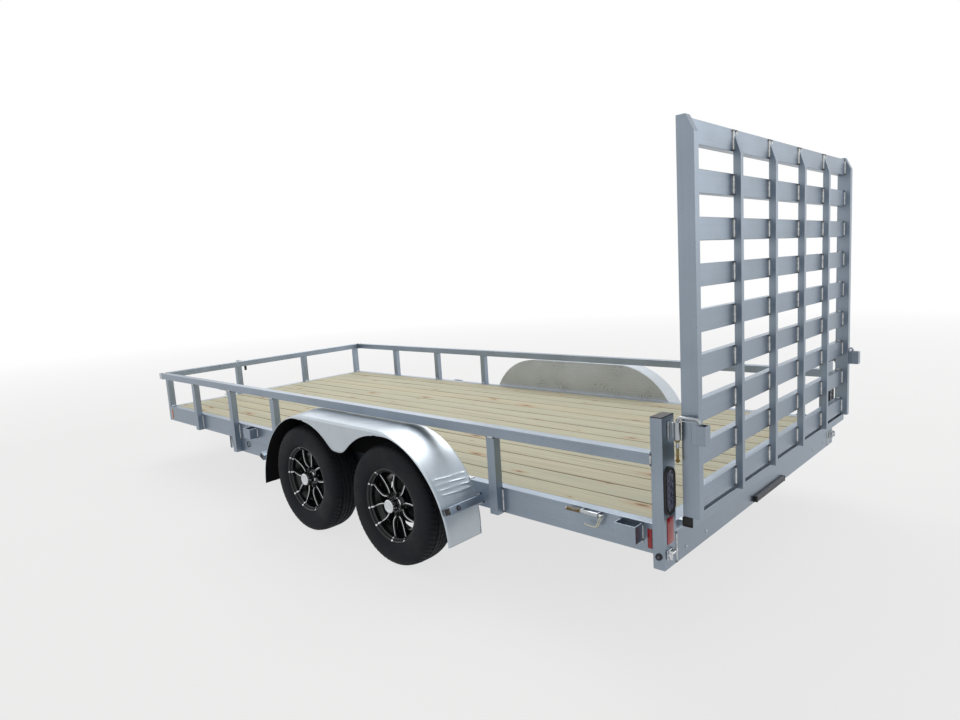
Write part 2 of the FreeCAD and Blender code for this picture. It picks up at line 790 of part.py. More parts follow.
def fender_wire(radius, y, inset):
    """Closed arch outline in the side view: straight legs, round corners and a flat top."""
    spread = fender_half_spread + fender_radius - radius
    top = fender_top - inset
    centre_z = fender_top - radius
    rear = fender_middle_x - spread
    front = fender_middle_x + spread
    r = radius - inset
    low = fender_centre_z - 40
    diagonal = r * math.sqrt(0.5)
    p = [Vector(rear - r, y, low), Vector(rear - r, y, centre_z), Vector(rear, y, top),
         Vector(front, y, top), Vector(front + r, y, centre_z), Vector(front + r, y, low)]
    rear_mid = Vector(rear - diagonal, y, centre_z + diagonal)
    front_mid = Vector(front + diagonal, y, centre_z + diagonal)
    edges = [Part.LineSegment(p[0], p[1]).toShape(), Part.Arc(p[1], rear_mid, p[2]).toShape(),
             Part.LineSegment(p[2], p[3]).toShape(), Part.Arc(p[3], front_mid, p[4]).toShape(),
             Part.LineSegment(p[4], p[5]).toShape(), Part.LineSegment(p[5], p[0]).toShape()]
    return Part.Wire(edges)


def fender_volume(inset, y0, y1):
    """Space under the arch, ruled from the rounder inner outline to the outer one."""
    inner = fender_wire(fender_inner_radius, y0, inset)
    outer = fender_wire(fender_radius, y1, inset)
    return Part.makeLoft([inner, outer], True, True)


def make_fender():
    """Left fender: ruled skin, outer skirt with two wheel arches and pressed ribs at the rear."""
    inner_y = frame_half_width
    whole = fender_volume(0, inner_y, fender_outer_y)
    hollow = fender_volume(fender_skin, inner_y, fender_outer_y)
    skin = whole.cut(hollow)
    skirt = Part.Face(fender_wire(fender_radius, fender_outer_y - fender_skin, fender_skin / 2))
    skirt = skirt.extrude(Vector(0, fender_skin, 0))
    arch = fender_radius - fender_lip
    for sign in (-1, 1):
        centre = Vector(fender_middle_x + sign * fender_half_spread, fender_outer_y - 50, fender_centre_z)
        skirt = skirt.cut(Part.makeCylinder(arch, 100, centre, Y_AXIS))
        low = box(min(centre.x, centre.x + sign * arch), max(centre.x, centre.x + sign * arch),
                  fender_outer_y - 50, fender_outer_y + 50, 0, fender_centre_z)
        skirt = skirt.cut(low)
    middle = box(fender_middle_x - fender_half_spread, fender_middle_x + fender_half_spread,
                 fender_outer_y - 50, fender_outer_y + 50, 0, gusset_height())
    skirt = skirt.cut(middle)
    shell = fused([skin, skirt] + fender_ribs())
    ground = box(0, deck_length, 0, 2 * fender_outer_y, 0, fender_bottom)
    return shell.cut(ground)


def gusset_height():
    """Height of the blunt tip between the two wheel arches."""
    arch = fender_radius - fender_lip
    return fender_centre_z + math.sqrt(arch ** 2 - (fender_half_spread - fender_gusset_width / 2) ** 2)


def fender_rear_x(radius, z):
    """Where an arch outline of this radius stands at height z, on its rear side."""
    spread = fender_half_spread + fender_radius - radius
    centre_z = fender_top - radius
    return fender_middle_x - spread - math.sqrt(radius ** 2 - (z - centre_z) ** 2)


def fender_ribs():
    """Half-round ribs pressed across the rear of the fender."""
    ribs = []
    for index in range(fender_rib_count):
        z = fender_bottom + fender_rib_lift + index * fender_rib_pitch
        start = Vector(fender_rear_x(fender_inner_radius, z), frame_half_width + 1, z)
        end = Vector(fender_rear_x(fender_radius, z), fender_outer_y - 1, z)
        ribs.append(cylinder(fender_rib_radius, start, end))
    return ribs


def make_fender_panel():
    """Arched tread-plate panel on the side member, with a flange along the deck."""
    y0 = frame_half_width - panel_thickness
    arch = Part.Face(fender_wire(fender_inner_radius, y0, fender_skin)).extrude(
        Vector(0, panel_thickness, 0))
    arch = arch.cut(box(0, deck_length, 0, 2 * fender_outer_y, 0, frame_top))
    reach = fender_half_spread + fender_radius - fender_inner_radius
    flange = box(fender_middle_x - reach - fender_inner_radius * 0.87,
                 fender_middle_x + reach + fender_inner_radius * 0.87,
                 y0 - panel_flange_width, y0, frame_top, frame_top + panel_thickness)
    return fused([arch, flange])


def make_support(sign):
    """Tube from the frame's outer face along the fender's end, cut to lie on its skin."""
    centre_x = fender_rear_x(fender_inner_radius, support_height) - support_width / 2 + support_bite
    centre_x = fender_middle_x + sign * (fender_middle_x - centre_x)
    half_w = support_width / 2
    half_t = support_thickness / 2
    tube = tube_y(-half_w, half_w, frame_half_width, fender_outer_y, -half_t, half_t, support_wall)
    tube.rotate(Vector(0, 0, 0), Y_AXIS, sign * support_tilt)
    tube.translate(Vector(centre_x, 0, support_height))
    return tube.cut(fender_volume(-fit_clearance, frame_half_width - 1, fender_outer_y + 1))


def make_fenders():
    """Both fenders, their inner panels and their support tubes."""
    fender = make_fender()
    save("fender_left", [fender])
    save("fender_right", [mirrored(fender)])
    save("fender_panels", both([make_fender_panel()]))
    save("fender_supports", both([make_support(-1), make_support(1)]))


# Ramp gate

def make_gate():
    """Side members, rungs, ribs and the hinge tube of the ramp gate."""
    save("gate_sides", both([fused([make_gate_side(), make_keeper()])]))
    rungs = []
    for index in range(rung_count):
        z = hinge_tube_top + hinge_tube_gap + index * rung_pitch
        rungs.append(tube_y(gate_front - rung_depth, gate_front, -gate_side_inner, gate_side_inner,
                            z, z + rung_height, rung_wall))
    save("gate_rungs", rungs)
    save("gate_ribs", make_ribs())
    save("gate_hinge_tube", [make_hinge_tube()])
    save("hinge_lugs", make_hinge_lugs())


def make_gate_side():
    """Left side member with its sloping top corner."""
    outline = [(gate_front, hinge_tube_top), (gate_front, gate_top),
               (gate_rear + gate_bevel_length, gate_top), (gate_rear, gate_top - gate_bevel_drop),
               (gate_rear, hinge_tube_top)]
    return side_profile(outline, gate_side_inner, gate_half_width)


def make_keeper():
    """Channel on the side member that the latch hook drops into, open to the front."""
    y0 = gate_half_width
    y1 = gate_half_width + keeper_width
    high = rear_post_top - keeper_drop
    low = high - keeper_height
    front = keeper_rear + keeper_lead
    inner = box(keeper_rear, front, y0, y0 + keeper_wall, low, high)
    rear = box(keeper_rear, keeper_rear + keeper_wall, y0, y1, low, high)
    outer = box(keeper_rear, front - keeper_lip, y1 - keeper_wall, y1, low, high)
    return fused([inner, rear, outer])


def make_ribs():
    """Upright ribs behind the rungs, with mitred tops."""
    bay = 2 * gate_side_inner / (rib_count + 1)
    front = gate_front - rung_depth
    top_rung_top = hinge_tube_top + hinge_tube_gap + (rung_count - 1) * rung_pitch + rung_height
    outline = [(front, hinge_tube_top), (front, top_rung_top), (gate_rear, top_rung_top - rib_mitre_drop),
               (gate_rear, hinge_tube_top)]
    ribs = []
    for index in range(rib_count):
        y = -gate_side_inner + (index + 1) * bay
        ribs.append(side_profile(outline, y - rib_width / 2, y + rib_width / 2))
    return ribs


def hinge_places():
    """Evenly spaced places of the hinges along the sill."""
    reach = gate_half_width - hinge_end_inset
    return [reach * (2 * index / (hinge_count - 1) - 1) for index in range(hinge_count)]


def make_hinge_tube():
    """Square tube along the foot of the gate, with the gate's hinge knuckles."""
    rear = hinge_tube_front - hinge_tube_depth
    tube = tube_y(rear, hinge_tube_front, -gate_half_width, gate_half_width,
                  hinge_tube_bottom, hinge_tube_top, rung_wall)
    pieces = [tube]
    bores = []
    for y in hinge_places():
        y0 = y - knuckle_length / 2
        y1 = y + knuckle_length / 2
        axis_low = Vector(hinge_axis_x, y0, hinge_axis_z)
        axis_high = Vector(hinge_axis_x, y1, hinge_axis_z)
        pieces.append(cylinder(knuckle_radius, axis_low, axis_high))
        web = [(hinge_tube_front - hinge_tube_depth / 2, hinge_tube_bottom),
               (hinge_tube_front, hinge_tube_bottom), (hinge_axis_x, hinge_axis_z + knuckle_radius - 1),
               (hinge_axis_x - knuckle_radius + 3, hinge_axis_z - 5)]
        pieces.append(side_profile(web, y0, y1))
        bores.append(cylinder(hinge_pin_radius + running_clearance, axis_low - Y_AXIS, axis_high + Y_AXIS))
    return fused(pieces).cut(fused_tools(bores))


def make_hinge_lugs():
    """Pairs of knuckles on the sill's bevel, each pair carrying one pin through a gate knuckle."""
    slope = sill_bevel_depth / sill_bevel_height
    low = hinge_axis_z - knuckle_radius
    high = frame_top
    web = [(hinge_axis_x, low), (sill_bevel_depth - (frame_top - low) * slope, low),
           (sill_bevel_depth, high), (hinge_axis_x, hinge_axis_z + knuckle_radius)]
    lugs = []
    for y in hinge_places():
        pieces = []
        near = knuckle_length / 2 + knuckle_gap
        far = near + lug_length
        for sign in (-1, 1):
            y0, y1 = sorted((y + sign * near, y + sign * far))
            pieces.append(cylinder(knuckle_radius, Vector(hinge_axis_x, y0, hinge_axis_z),
                                   Vector(hinge_axis_x, y1, hinge_axis_z)))
            pieces.append(side_profile(web, y0, y1))
        pieces.append(cylinder(hinge_pin_radius, Vector(hinge_axis_x, y - far, hinge_axis_z),
                               Vector(hinge_axis_x, y + far, hinge_axis_z)))
        lugs.append(fused(pieces))
    return lugs


def make_gate_latches():
    """Hooked rods in blocks on the rear posts, which hold the gate up."""
    block_high = rear_post_top - latch_block_drop
    block = box(-latch_block_depth, 0, latch_rod_y - latch_block_width / 2,
                latch_rod_y + latch_block_width / 2, block_high - latch_block_height, block_high)
    high = rear_post_top - latch_rod_drop
    points = [Vector(latch_rod_x, latch_rod_y, high - latch_rod_length),
              Vector(latch_rod_x, latch_rod_y, high), Vector(latch_hook_x, latch_rod_y, high),
              Vector(latch_hook_x, latch_rod_y, high - latch_hook_length)]
    rod = rod_path(points, latch_bend_radius, latch_rod_radius)
    save("gate_latches", both([fused([block, rod])]))


# Fittings on the frame sides, lamps and reflectors

def make_pockets():
    """Three-sided stake pockets, open above and below, against the side members."""
    top = frame_top - pocket_top_drop
    low = top - pocket_height
    pockets = []
    for x in pocket_places:
        outer = box(x - pocket_length / 2, x + pocket_length / 2, frame_half_width,
                    frame_half_width + pocket_depth, low, top)
        inner = box(x - pocket_length / 2 + pocket_wall, x + pocket_length / 2 - pocket_wall,
                    frame_half_width - 1, frame_half_width + pocket_depth - pocket_wall, low - 1, top + 1)
        pockets.append(outer.cut(inner))
    save("stake_pockets", both(pockets))


def make_side_latches():
    """Spring bolt in two lugs on each side member, with a flat pull handle."""
    y = frame_half_width + side_latch_stand_off
    z = frame_top - side_latch_drop
    rear = rear_post_depth + side_latch_gap
    front = rear + side_latch_length
    pieces = [cylinder(side_latch_barrel_radius, Vector(rear, y, z), Vector(front, y, z)),
              cylinder(side_latch_rod_radius, Vector(rear - side_latch_rod_rear, y, z),
                       Vector(front + side_latch_rod_front, y, z))]
    for x in (rear, front - side_latch_lug_thickness):
        pieces.append(box(x, x + side_latch_lug_thickness, frame_half_width, y,
                          z - side_latch_barrel_radius, z + side_latch_barrel_radius))
    x0 = rear - side_latch_handle_setback
    y0 = y - side_latch_handle_width / 2
    y1 = y + side_latch_handle_width / 2
    low = z - side_latch_handle_drop
    handle = box(x0, x0 + side_latch_handle_thickness, y0, y1, low, z + side_latch_rod_radius)
    foot = box(x0, x0 + side_latch_handle_length, y0, y1, low - side_latch_handle_thickness, low)
    save("side_latches", both([fused(pieces + [handle, foot])]))


def make_lamps():
    """Tail lamps, red reflectors, red markers and the sill's bar lamp, then the amber ones."""
    z = rear_post_top - tail_lamp_drop
    rim = tail_lamp_rim + fit_clearance
    lens = oval(-tail_lamp_proud, 0, post_middle_y, z, tail_lamp_width, tail_lamp_height)
    plug = oval(0, tail_lamp_depth, post_middle_y, z, tail_lamp_width - 2 * rim,
                tail_lamp_height - 2 * rim)
    centre_z = sill_bottom + rear_reflector_lift
    rear = box(-reflector_thickness, 0, post_middle_y - rear_reflector_width / 2,
               post_middle_y + rear_reflector_width / 2, centre_z - rear_reflector_height / 2,
               centre_z + rear_reflector_height / 2)
    marker_x = rear_post_depth / 2
    marker_z = sill_bottom + marker_lift
    marker = cylinder(marker_radius, Vector(marker_x, rail_outer, marker_z),
                      Vector(marker_x, rail_outer + marker_proud, marker_z))
    red = both([fused([lens, plug]), rear, flat_reflector(rear_post_depth + rear_side_reflector_gap), marker])
    low = sill_bottom + bar_lamp_lift
    red.append(box(-bar_lamp_depth, 0, -bar_lamp_half_length, bar_lamp_half_length,
                   low, low + bar_lamp_height))
    save("red_lamps", red)
    save("amber_lamps", both([flat_reflector(deck_length - front_side_reflector_setback)]))


def flat_reflector(x):
    """Thin reflector on the left side member's outer face."""
    z = frame_bottom + side_reflector_lift
    return box(x - side_reflector_width / 2, x + side_reflector_width / 2, frame_half_width,
               frame_half_width + reflector_thickness, z - side_reflector_height / 2,
               z + side_reflector_height / 2)


os.makedirs("parts", exist_ok=True)
make_frame()
make_boards()
make_posts()
make_rails()
make_rear_posts()
make_under_beams()
make_tongue()
make_coupler()
make_jack()
make_axles()
make_wheels()
make_fenders()
make_gate()
make_gate_latches()
make_pockets()
make_side_latches()
make_lamps()
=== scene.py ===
"""Utility trailer as an add-on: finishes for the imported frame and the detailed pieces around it."""
import math
from functools import partial

import bmesh
import bpy
import numpy as np
from bpy.props import FloatProperty, FloatVectorProperty, IntProperty, PointerProperty
from mathutils import Matrix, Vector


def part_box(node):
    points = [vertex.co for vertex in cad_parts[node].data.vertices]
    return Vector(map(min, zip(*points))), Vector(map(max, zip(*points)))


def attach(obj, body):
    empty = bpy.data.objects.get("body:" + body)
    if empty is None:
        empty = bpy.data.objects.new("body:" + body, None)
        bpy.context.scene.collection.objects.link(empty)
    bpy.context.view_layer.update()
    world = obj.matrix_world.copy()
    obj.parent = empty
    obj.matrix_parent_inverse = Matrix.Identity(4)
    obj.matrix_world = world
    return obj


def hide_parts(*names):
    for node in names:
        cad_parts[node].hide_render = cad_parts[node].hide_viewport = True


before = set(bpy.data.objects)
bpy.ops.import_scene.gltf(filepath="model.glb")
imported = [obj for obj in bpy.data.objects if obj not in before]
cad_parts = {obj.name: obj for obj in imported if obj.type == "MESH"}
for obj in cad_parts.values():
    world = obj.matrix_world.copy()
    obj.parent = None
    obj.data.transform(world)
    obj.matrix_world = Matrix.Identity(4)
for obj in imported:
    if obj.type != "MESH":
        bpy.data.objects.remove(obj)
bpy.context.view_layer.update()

bl_info = {
    "name": "Utility trailer",
    "version": (1, 0, 0),
    "blender": (4, 5, 0),
    "location": "3D View > Sidebar > Trailer",
    "description": "Finishes and detailed pieces for a tandem-axle utility trailer",
    "category": "Object",
}

MM = 0.001
TURN = 2 * math.pi
SIDES = (("left", 1), ("right", -1))
WHEELS = [(place, side, sign) for side, sign in SIDES for place in ("rear", "front")]
ZINC = ("zinc_steel", "bright_zinc_plated_steel")
PLASTIC = ("black_plastic", "moulded_black_plastic")


# Colours and nodes

DUST = "#4E4D49"
SOOT = "#0C0C0D"
WHITE = "#FFFFFF"


def linear(code):
    """sRGB hex code as linear red, green and blue, with an alpha of 1."""
    parts = np.array([int(code[k:k + 2], 16) for k in (1, 3, 5)]) / 255
    parts = np.where(parts <= 0.04045, parts / 12.92, ((parts + 0.055) / 1.055) ** 2.4)
    return tuple(float(part) for part in parts) + (1.0,)


def shaded(colour, factor):
    """A linear colour made lighter or darker by a factor."""
    return tuple(min(part * factor, 1.0) for part in colour[:3]) + (1.0,)


def add_node(tree, kind, inputs=None, output=0, stops=(), **settings):
    """Add a node with its settings and links, and give one of its outputs. An input takes a value or the
    output that feeds it. Stops are the places and colours of a ramp."""
    made = tree.nodes.new("ShaderNode" + kind)
    for name, value in settings.items():
        setattr(made, name, value)
    for name, value in (inputs or {}).items():
        if isinstance(value, bpy.types.NodeSocket):
            tree.links.new(value, made.inputs[name])
        else:
            made.inputs[name].default_value = value
    for index, (place, colour) in enumerate(stops):
        ramp = made.color_ramp.elements
        step = ramp[index] if index < len(ramp) else ramp.new(place)
        step.position = place
        step.color = colour
    return made.outputs[output] if made.outputs else made


def new_material(name):
    """Material with an empty tree, and add_node bound to that tree."""
    material = bpy.data.materials.new(name)
    material.use_nodes = True
    material.node_tree.nodes.clear()
    return material, partial(add_node, material.node_tree)


def metal(name, colour, grain_mm, roughness, depth_mm=0.05, metallic=1.0, patch_mm=260.0, contrast=0.12,
          soot=0.0):
    """Metal: fine grain, broad handling patches, and dark specks about 9 mm apart. Its tone is a mix of the
    grain and patch noises, and moves both the colour and the roughness. Soot is the share of black where the
    mesh's soot attribute is 1."""
    material, node = new_material(name)
    place = node("TexCoord", output="Object")
    along = node("Mapping", {"Vector": place, "Scale": tuple(1000 / size for size in grain_mm)})
    grain = node("TexNoise", {"Vector": along, "Scale": 1.0, "Detail": 5.0, "Roughness": 0.6})
    patch = node("TexNoise", {"Vector": place, "Scale": 1000 / patch_mm, "Detail": 3.0})
    speck = node("TexNoise", {"Vector": place, "Scale": 110.0, "Detail": 2.0})
    tone = node("Mix", {0: 0.55, 2: grain, 3: patch})
    base = node("ValToRGB", {"Fac": tone}, stops=((0.34, shaded(colour, 1 - contrast)), (0.5, colour),
                                                  (0.66, shaded(colour, 1 + contrast))))
    dirt = node("MapRange", {"Value": speck, "From Min": 0.66, "From Max": 0.78, "To Max": 0.35})
    dusty = node("Mix", {0: dirt, 6: base, 7: linear(DUST)}, output=2, data_type="RGBA")
    if soot:
        mark = node("Attribute", attribute_name="soot", output="Fac")
        share = node("Math", {0: mark, 1: soot}, operation="MULTIPLY")
        dusty = node("Mix", {0: share, 6: dusty, 7: linear(SOOT)}, output=2, data_type="RGBA")
    rough = node("MapRange", {"Value": tone, "From Min": 0.3, "From Max": 0.7, "To Min": roughness[0],
                              "To Max": roughness[1]})
    bump = node("Bump", {"Height": grain, "Distance": depth_mm * MM})
    shader = node("BsdfPrincipled", {"Base Color": dusty, "Roughness": rough, "Metallic": metallic,
                                     "Normal": bump})
    node("OutputMaterial", {"Surface": shader})
    return material


def coated(name, colour, roughness, grain_mm, depth_mm, ior, specular=0.5):
    """Rubber, paint or plastic: fine grain, and faint dust in patches 140 mm across."""
    material, node = new_material(name)
    place = node("TexCoord", output="Object")
    grain = node("TexNoise", {"Vector": place, "Scale": 1000 / grain_mm, "Detail": 4.0, "Roughness": 0.6})
    dust = node("TexNoise", {"Vector": place, "Scale": 1000 / 140, "Detail": 4.0, "Roughness": 0.6})
    base = node("ValToRGB", {"Fac": dust}, stops=((0.35, shaded(colour, 0.7)), (0.52, colour),
                                                  (0.7, shaded(colour, 1.7))))
    rough = node("MapRange", {"Value": dust, "From Min": 0.35, "From Max": 0.65, "To Min": roughness[0],
                              "To Max": roughness[1]})
    bump = node("Bump", {"Height": grain, "Distance": depth_mm * MM})
    shader = node("BsdfPrincipled", {"Base Color": base, "Roughness": rough, "IOR": ior, "Normal": bump,
                                     "Specular IOR Level": specular})
    node("OutputMaterial", {"Surface": shader})
    return material


def lens(name, colour):
    """Moulded acrylic lens: glossy, with the glints of the prisms behind it painted as lighter and darker
    cells 4 mm across.
    """
    material, node = new_material(name)
    place = node("TexCoord", output="Object")
    prism = node("TexVoronoi", {"Vector": place, "Scale": 250.0, "Randomness": 0.15})
    scuff = node("TexNoise", {"Vector": place, "Scale": 33.0, "Detail": 4.0})
    # Painted glints: the prism cells lighten and darken the lens colour.
    base = node("ValToRGB", {"Fac": prism}, stops=((0.1, shaded(colour, 1.3)), (0.4, colour),
                                                   (0.75, shaded(colour, 0.6))))
    rough = node("MapRange", {"Value": scuff, "From Min": 0.3, "From Max": 0.7, "To Min": 0.06,
                              "To Max": 0.18})
    bump = node("Bump", {"Height": prism, "Distance": 0.25 * MM})
    shader = node("BsdfPrincipled", {"Base Color": base, "Roughness": rough, "IOR": 1.49, "Normal": bump,
                                     "Coat Weight": 0.2})
    node("OutputMaterial", {"Surface": shader})
    return material


def pine(name, yellow, green, knot_colour):
    """Planks: growth rings show as streaks 4 to 12 mm wide and 900 mm long, and bend round knots about 25 mm
    across and 500 mm apart. Each plank's number shifts its pattern and tone, and its flanks are darkened as
    painted shade in the gaps between planks."""
    material, node = new_material(name)
    number = node("Attribute", attribute_name="plank", output="Fac")
    flank = node("Attribute", attribute_name="flank", output="Fac")
    shift = node("VectorMath", {0: (3.7, 1.9, 5.3), "Scale": number}, operation="SCALE")
    flat = node("TexCoord", output="UV")
    place = node("VectorMath", {0: flat, 1: shift}, operation="ADD")
    spots = node("Mapping", {"Vector": place, "Scale": (2.1, 7.0, 1.0)})
    away = node("TexVoronoi", {"Vector": spots, "Scale": 1.0, "Randomness": 0.9}, voronoi_dimensions="2D")
    chance = node("TexVoronoi", {"Vector": spots, "Scale": 1.0, "Randomness": 0.9}, output="Color",
                  voronoi_dimensions="2D")
    drawn = node("SeparateColor", {"Color": chance})
    size = node("MapRange", {"Value": drawn, "From Min": 0.45, "To Min": 0.001, "To Max": 0.13})
    core = node("Math", {0: away, 1: size}, operation="DIVIDE")
    knot = node("MapRange", {"Value": core, "From Min": 0.35, "From Max": 0.85, "To Min": 0.85,
                             "To Max": 0.0})
    halo = node("MapRange", {"Value": core, "From Min": 0.6, "From Max": 2.6, "To Min": 1.0, "To Max": 0.0})
    bend = node("VectorMath", {0: (0.0, 0.012, 0.0), "Scale": halo}, operation="SCALE")
    bent = node("VectorMath", {0: place, 1: bend}, operation="ADD")
    ring_place = node("Mapping", {"Vector": bent, "Scale": (1.1, 90.0, 2.5)})
    fine_place = node("Mapping", {"Vector": bent, "Scale": (6.2, 620.0, 16.0)})
    rings = node("TexNoise", {"Vector": ring_place, "Scale": 1.0, "Detail": 3.0, "Distortion": 0.35})
    fine = node("TexNoise", {"Vector": fine_place, "Scale": 1.0, "Detail": 3.0, "Roughness": 0.6})
    broad_place = node("Mapping", {"Vector": place, "Scale": (2.4, 11.0, 5.0)})
    stain = node("TexNoise", {"Vector": broad_place, "Scale": 1.0, "Detail": 3.0})
    tone = node("Mix", {0: 0.25, 2: rings, 3: fine})
    warm = node("ValToRGB", {"Fac": tone}, stops=((0.3, shaded(yellow, 0.68)), (0.46, yellow),
                                                  (0.62, shaded(yellow, 1.14))))
    cool = node("ValToRGB", {"Fac": tone}, stops=((0.3, shaded(green, 0.7)), (0.46, green),
                                                  (0.62, shaded(green, 1.12))))
    lot = node("TexWhiteNoise", {"W": number}, noise_dimensions="1D")
    share = node("Math", {0: lot, 1: 0.55, 2: node("Math", {0: stain, 1: 0.5}, operation="MULTIPLY")},
                 operation="MULTIPLY_ADD", use_clamp=True)
    wood = node("Mix", {0: share, 6: warm, 7: cool}, output=2, data_type="RGBA")
    ringed = node("Mix", {0: node("Math", {0: halo, 1: 0.4}, operation="MULTIPLY"), 6: wood,
                          7: shaded(knot_colour, 2.4)}, output=2, data_type="RGBA")
    knotted = node("Mix", {0: knot, 6: ringed, 7: knot_colour}, output=2, data_type="RGBA")
    # Painted shade: the flanks are darkened halfway towards the knot colour, so that the gaps between planks
    # read dark.
    gap_shaded = node("Mix", {0: node("Math", {0: flank, 1: 0.5}, operation="MULTIPLY"), 6: knotted,
                         7: shaded(knot_colour, 0.9)}, output=2, data_type="RGBA")
    rough = node("MapRange", {"Value": tone, "From Min": 0.3, "From Max": 0.7, "To Min": 0.62,
                              "To Max": 0.8})
    relief = node("Math", {0: fine, 1: knot}, operation="SUBTRACT")
    bump = node("Bump", {"Height": relief, "Distance": 0.35 * MM})
    shader = node("BsdfPrincipled", {"Base Color": gap_shaded, "Roughness": rough, "IOR": 1.45, "Normal": bump,
                                     "Specular IOR Level": 0.35})
    node("OutputMaterial", {"Surface": shader})
    return material


FINISHES = {
    # Mill-finish extruded aluminium: mid grey, satin, with faint die lines along each tube. The lines are
    # about 0.5 mm apart and are drawn 4 mm apart so that they show.
    "mill_aluminium_along_x": (metal, ["tube"], dict(grain_mm=(700, 4, 4), roughness=(0.28, 0.46))),
    "mill_aluminium_along_y": (metal, ["tube"], dict(grain_mm=(4, 700, 4), roughness=(0.28, 0.46))),
    "mill_aluminium_along_z": (metal, ["tube"], dict(grain_mm=(4, 4, 700), roughness=(0.28, 0.46))),
    # Rolled aluminium sheet, smoothed: brighter and softer than the tubes, lightly clouded.
    "rolled_aluminium_sheet": (metal, ["sheet"], dict(grain_mm=(60, 60, 60), roughness=(0.32, 0.46),
                                                      depth_mm=0.03, contrast=0.06)),
    # Rolled tread plate: shinier, since the rolls polish its lozenges.
    "rolled_tread_plate": (metal, ["tread"], dict(grain_mm=(12, 12, 12), roughness=(0.22, 0.38),
                                                  depth_mm=0.04)),
    # Aluminium weld: frosty ripples with soot at the toes. The ripples are modelled.
    "aluminium_weld": (metal, ["weld"], dict(grain_mm=(5, 5, 5), roughness=(0.35, 0.55), depth_mm=0.15,
                                             patch_mm=16.0, contrast=0.35, soot=0.9)),
    # Bright zinc plating on steel: blue-grey and fairly smooth.
    "bright_zinc_plated_steel": (metal, ["zinc"], dict(grain_mm=(7, 7, 7), roughness=(0.22, 0.4),
                                                       patch_mm=60.0)),
    # Yellow chromate over zinc: brassy, and brown in places.
    "yellow_chromate_steel": (metal, ["chromate"], dict(grain_mm=(6, 6, 6), roughness=(0.28, 0.45),
                                                        patch_mm=25.0, contrast=0.3)),
    # Hot-dip galvanised steel: dull grey with spangle, its crystals about 12 mm across.
    "hot_dip_galvanised_steel": (metal, ["galvanised"], dict(grain_mm=(12, 12, 12), roughness=(0.42, 0.62),
                                                             depth_mm=0.04, patch_mm=90.0, contrast=0.2)),
    # Cast iron, oiled: dark and rough from the sand mould.
    "cast_iron": (metal, ["iron"], dict(grain_mm=(3, 3, 3), roughness=(0.6, 0.78), depth_mm=0.3,
                                        metallic=0.6)),
    # Machined wheel lines, hub caps and pins: turned bright.
    "machined_aluminium": (metal, ["machined"], dict(grain_mm=(2, 30, 2), roughness=(0.14, 0.26),
                                                     depth_mm=0.02)),
    # Pressure-treated pine: pale yellow with a green cast from the treatment, with brown knots.
    "treated_pine": (pine, ["pine_yellow", "pine_green", "pine_knot"], {}),
    # Tyre rubber: near black and matt, with a fine moulded grain and road dust.
    "moulded_tyre_rubber": (coated, ["rubber"], dict(roughness=(0.6, 0.82), grain_mm=2.5, depth_mm=0.15,
                                                     ior=1.52, specular=0.2)),
    # Sprayed wheel paint: deep black and glossy.
    "gloss_black_paint": (coated, ["paint"], dict(roughness=(0.2, 0.32), grain_mm=1.2, depth_mm=0.01,
                                                  ior=1.5)),
    # Black, matt and pebbled, on the inner walls of the fenders: painted shade for the dark wheel wells.
    "sprayed_undercoat": (coated, ["plastic"], dict(roughness=(0.75, 0.9), grain_mm=5.0, depth_mm=0.4,
                                                    ior=1.5, specular=0.1)),
    # Moulded plastic and grommet rubber: black with a fine spark-eroded texture.
    "moulded_black_plastic": (coated, ["plastic"], dict(roughness=(0.38, 0.56), grain_mm=1.5, depth_mm=0.05,
                                                      ior=1.46)),
    # Moulded acrylic lenses: glossy, with painted glints of the prisms behind.
    "red_acrylic": (lens, ["red"], {}),
    "amber_acrylic": (lens, ["amber"], {}),
    "clear_acrylic": (lens, ["clear"], {}),
    "smoked_acrylic": (lens, ["smoked"], {}),
    # Cream powder coat on the small pull handles: smooth and slightly pebbled.
    "cream_powder_coat": (coated, ["cream"], dict(roughness=(0.35, 0.5), grain_mm=2.0, depth_mm=0.04,
                                                  ior=1.5)),
}


def finish(name):
    """Material of that name. It is made from the panel's colours the first time that a piece asks for it."""
    made = bpy.data.materials.get(name)
    if made is None:
        maker, parts, settings = FINISHES[name]
        panel = bpy.context.scene.trailer_colours
        made = maker(name, *(tuple(getattr(panel, part)) for part in parts), **settings)
    return made


def tour(low, high, count):
    """Evenly spaced values from low to high."""
    return np.linspace(low, high, count)


# Surfaces. Each is an array of points and an array of quads.

def round_angles(count):
    """Angles of even steps round a circle."""
    return np.arange(count) * TURN / count


def grid(rows, columns, wrap_rows=False, wrap_columns=False):
    """Quads that join point (i, j) of a grid to its neighbours in the next row and column."""
    i = np.arange(rows if wrap_rows else rows - 1)[:, None]
    j = np.arange(columns if wrap_columns else columns - 1)[None, :]
    i1 = (i + 1) % rows
    j1 = (j + 1) % columns
    corners = np.broadcast_arrays(i * columns + j, i1 * columns + j, i1 * columns + j1, i * columns + j1)
    return np.stack(corners, -1).reshape(-1, 4)


def joined(surfaces):
    """Several surfaces as one: the quads of each are counted on from the points before it."""
    starts = np.cumsum([0] + [len(surface[0]) for surface in surfaces[:-1]])
    points = np.concatenate([surface[0] for surface in surfaces])
    quads = np.concatenate([surface[1] + start for surface, start in zip(surfaces, starts)])
    return points, quads


def capped(rings):
    """Rings (rows, columns, 3) as a closed skin: each end shrinks to its own middle point."""
    first = np.repeat(rings[:1].mean(axis=1, keepdims=True), rings.shape[1], axis=1)
    last = np.repeat(rings[-1:].mean(axis=1, keepdims=True), rings.shape[1], axis=1)
    rings = np.concatenate([first, rings, last])
    return rings.reshape(-1, 3), grid(rings.shape[0], rings.shape[1], wrap_columns=True)


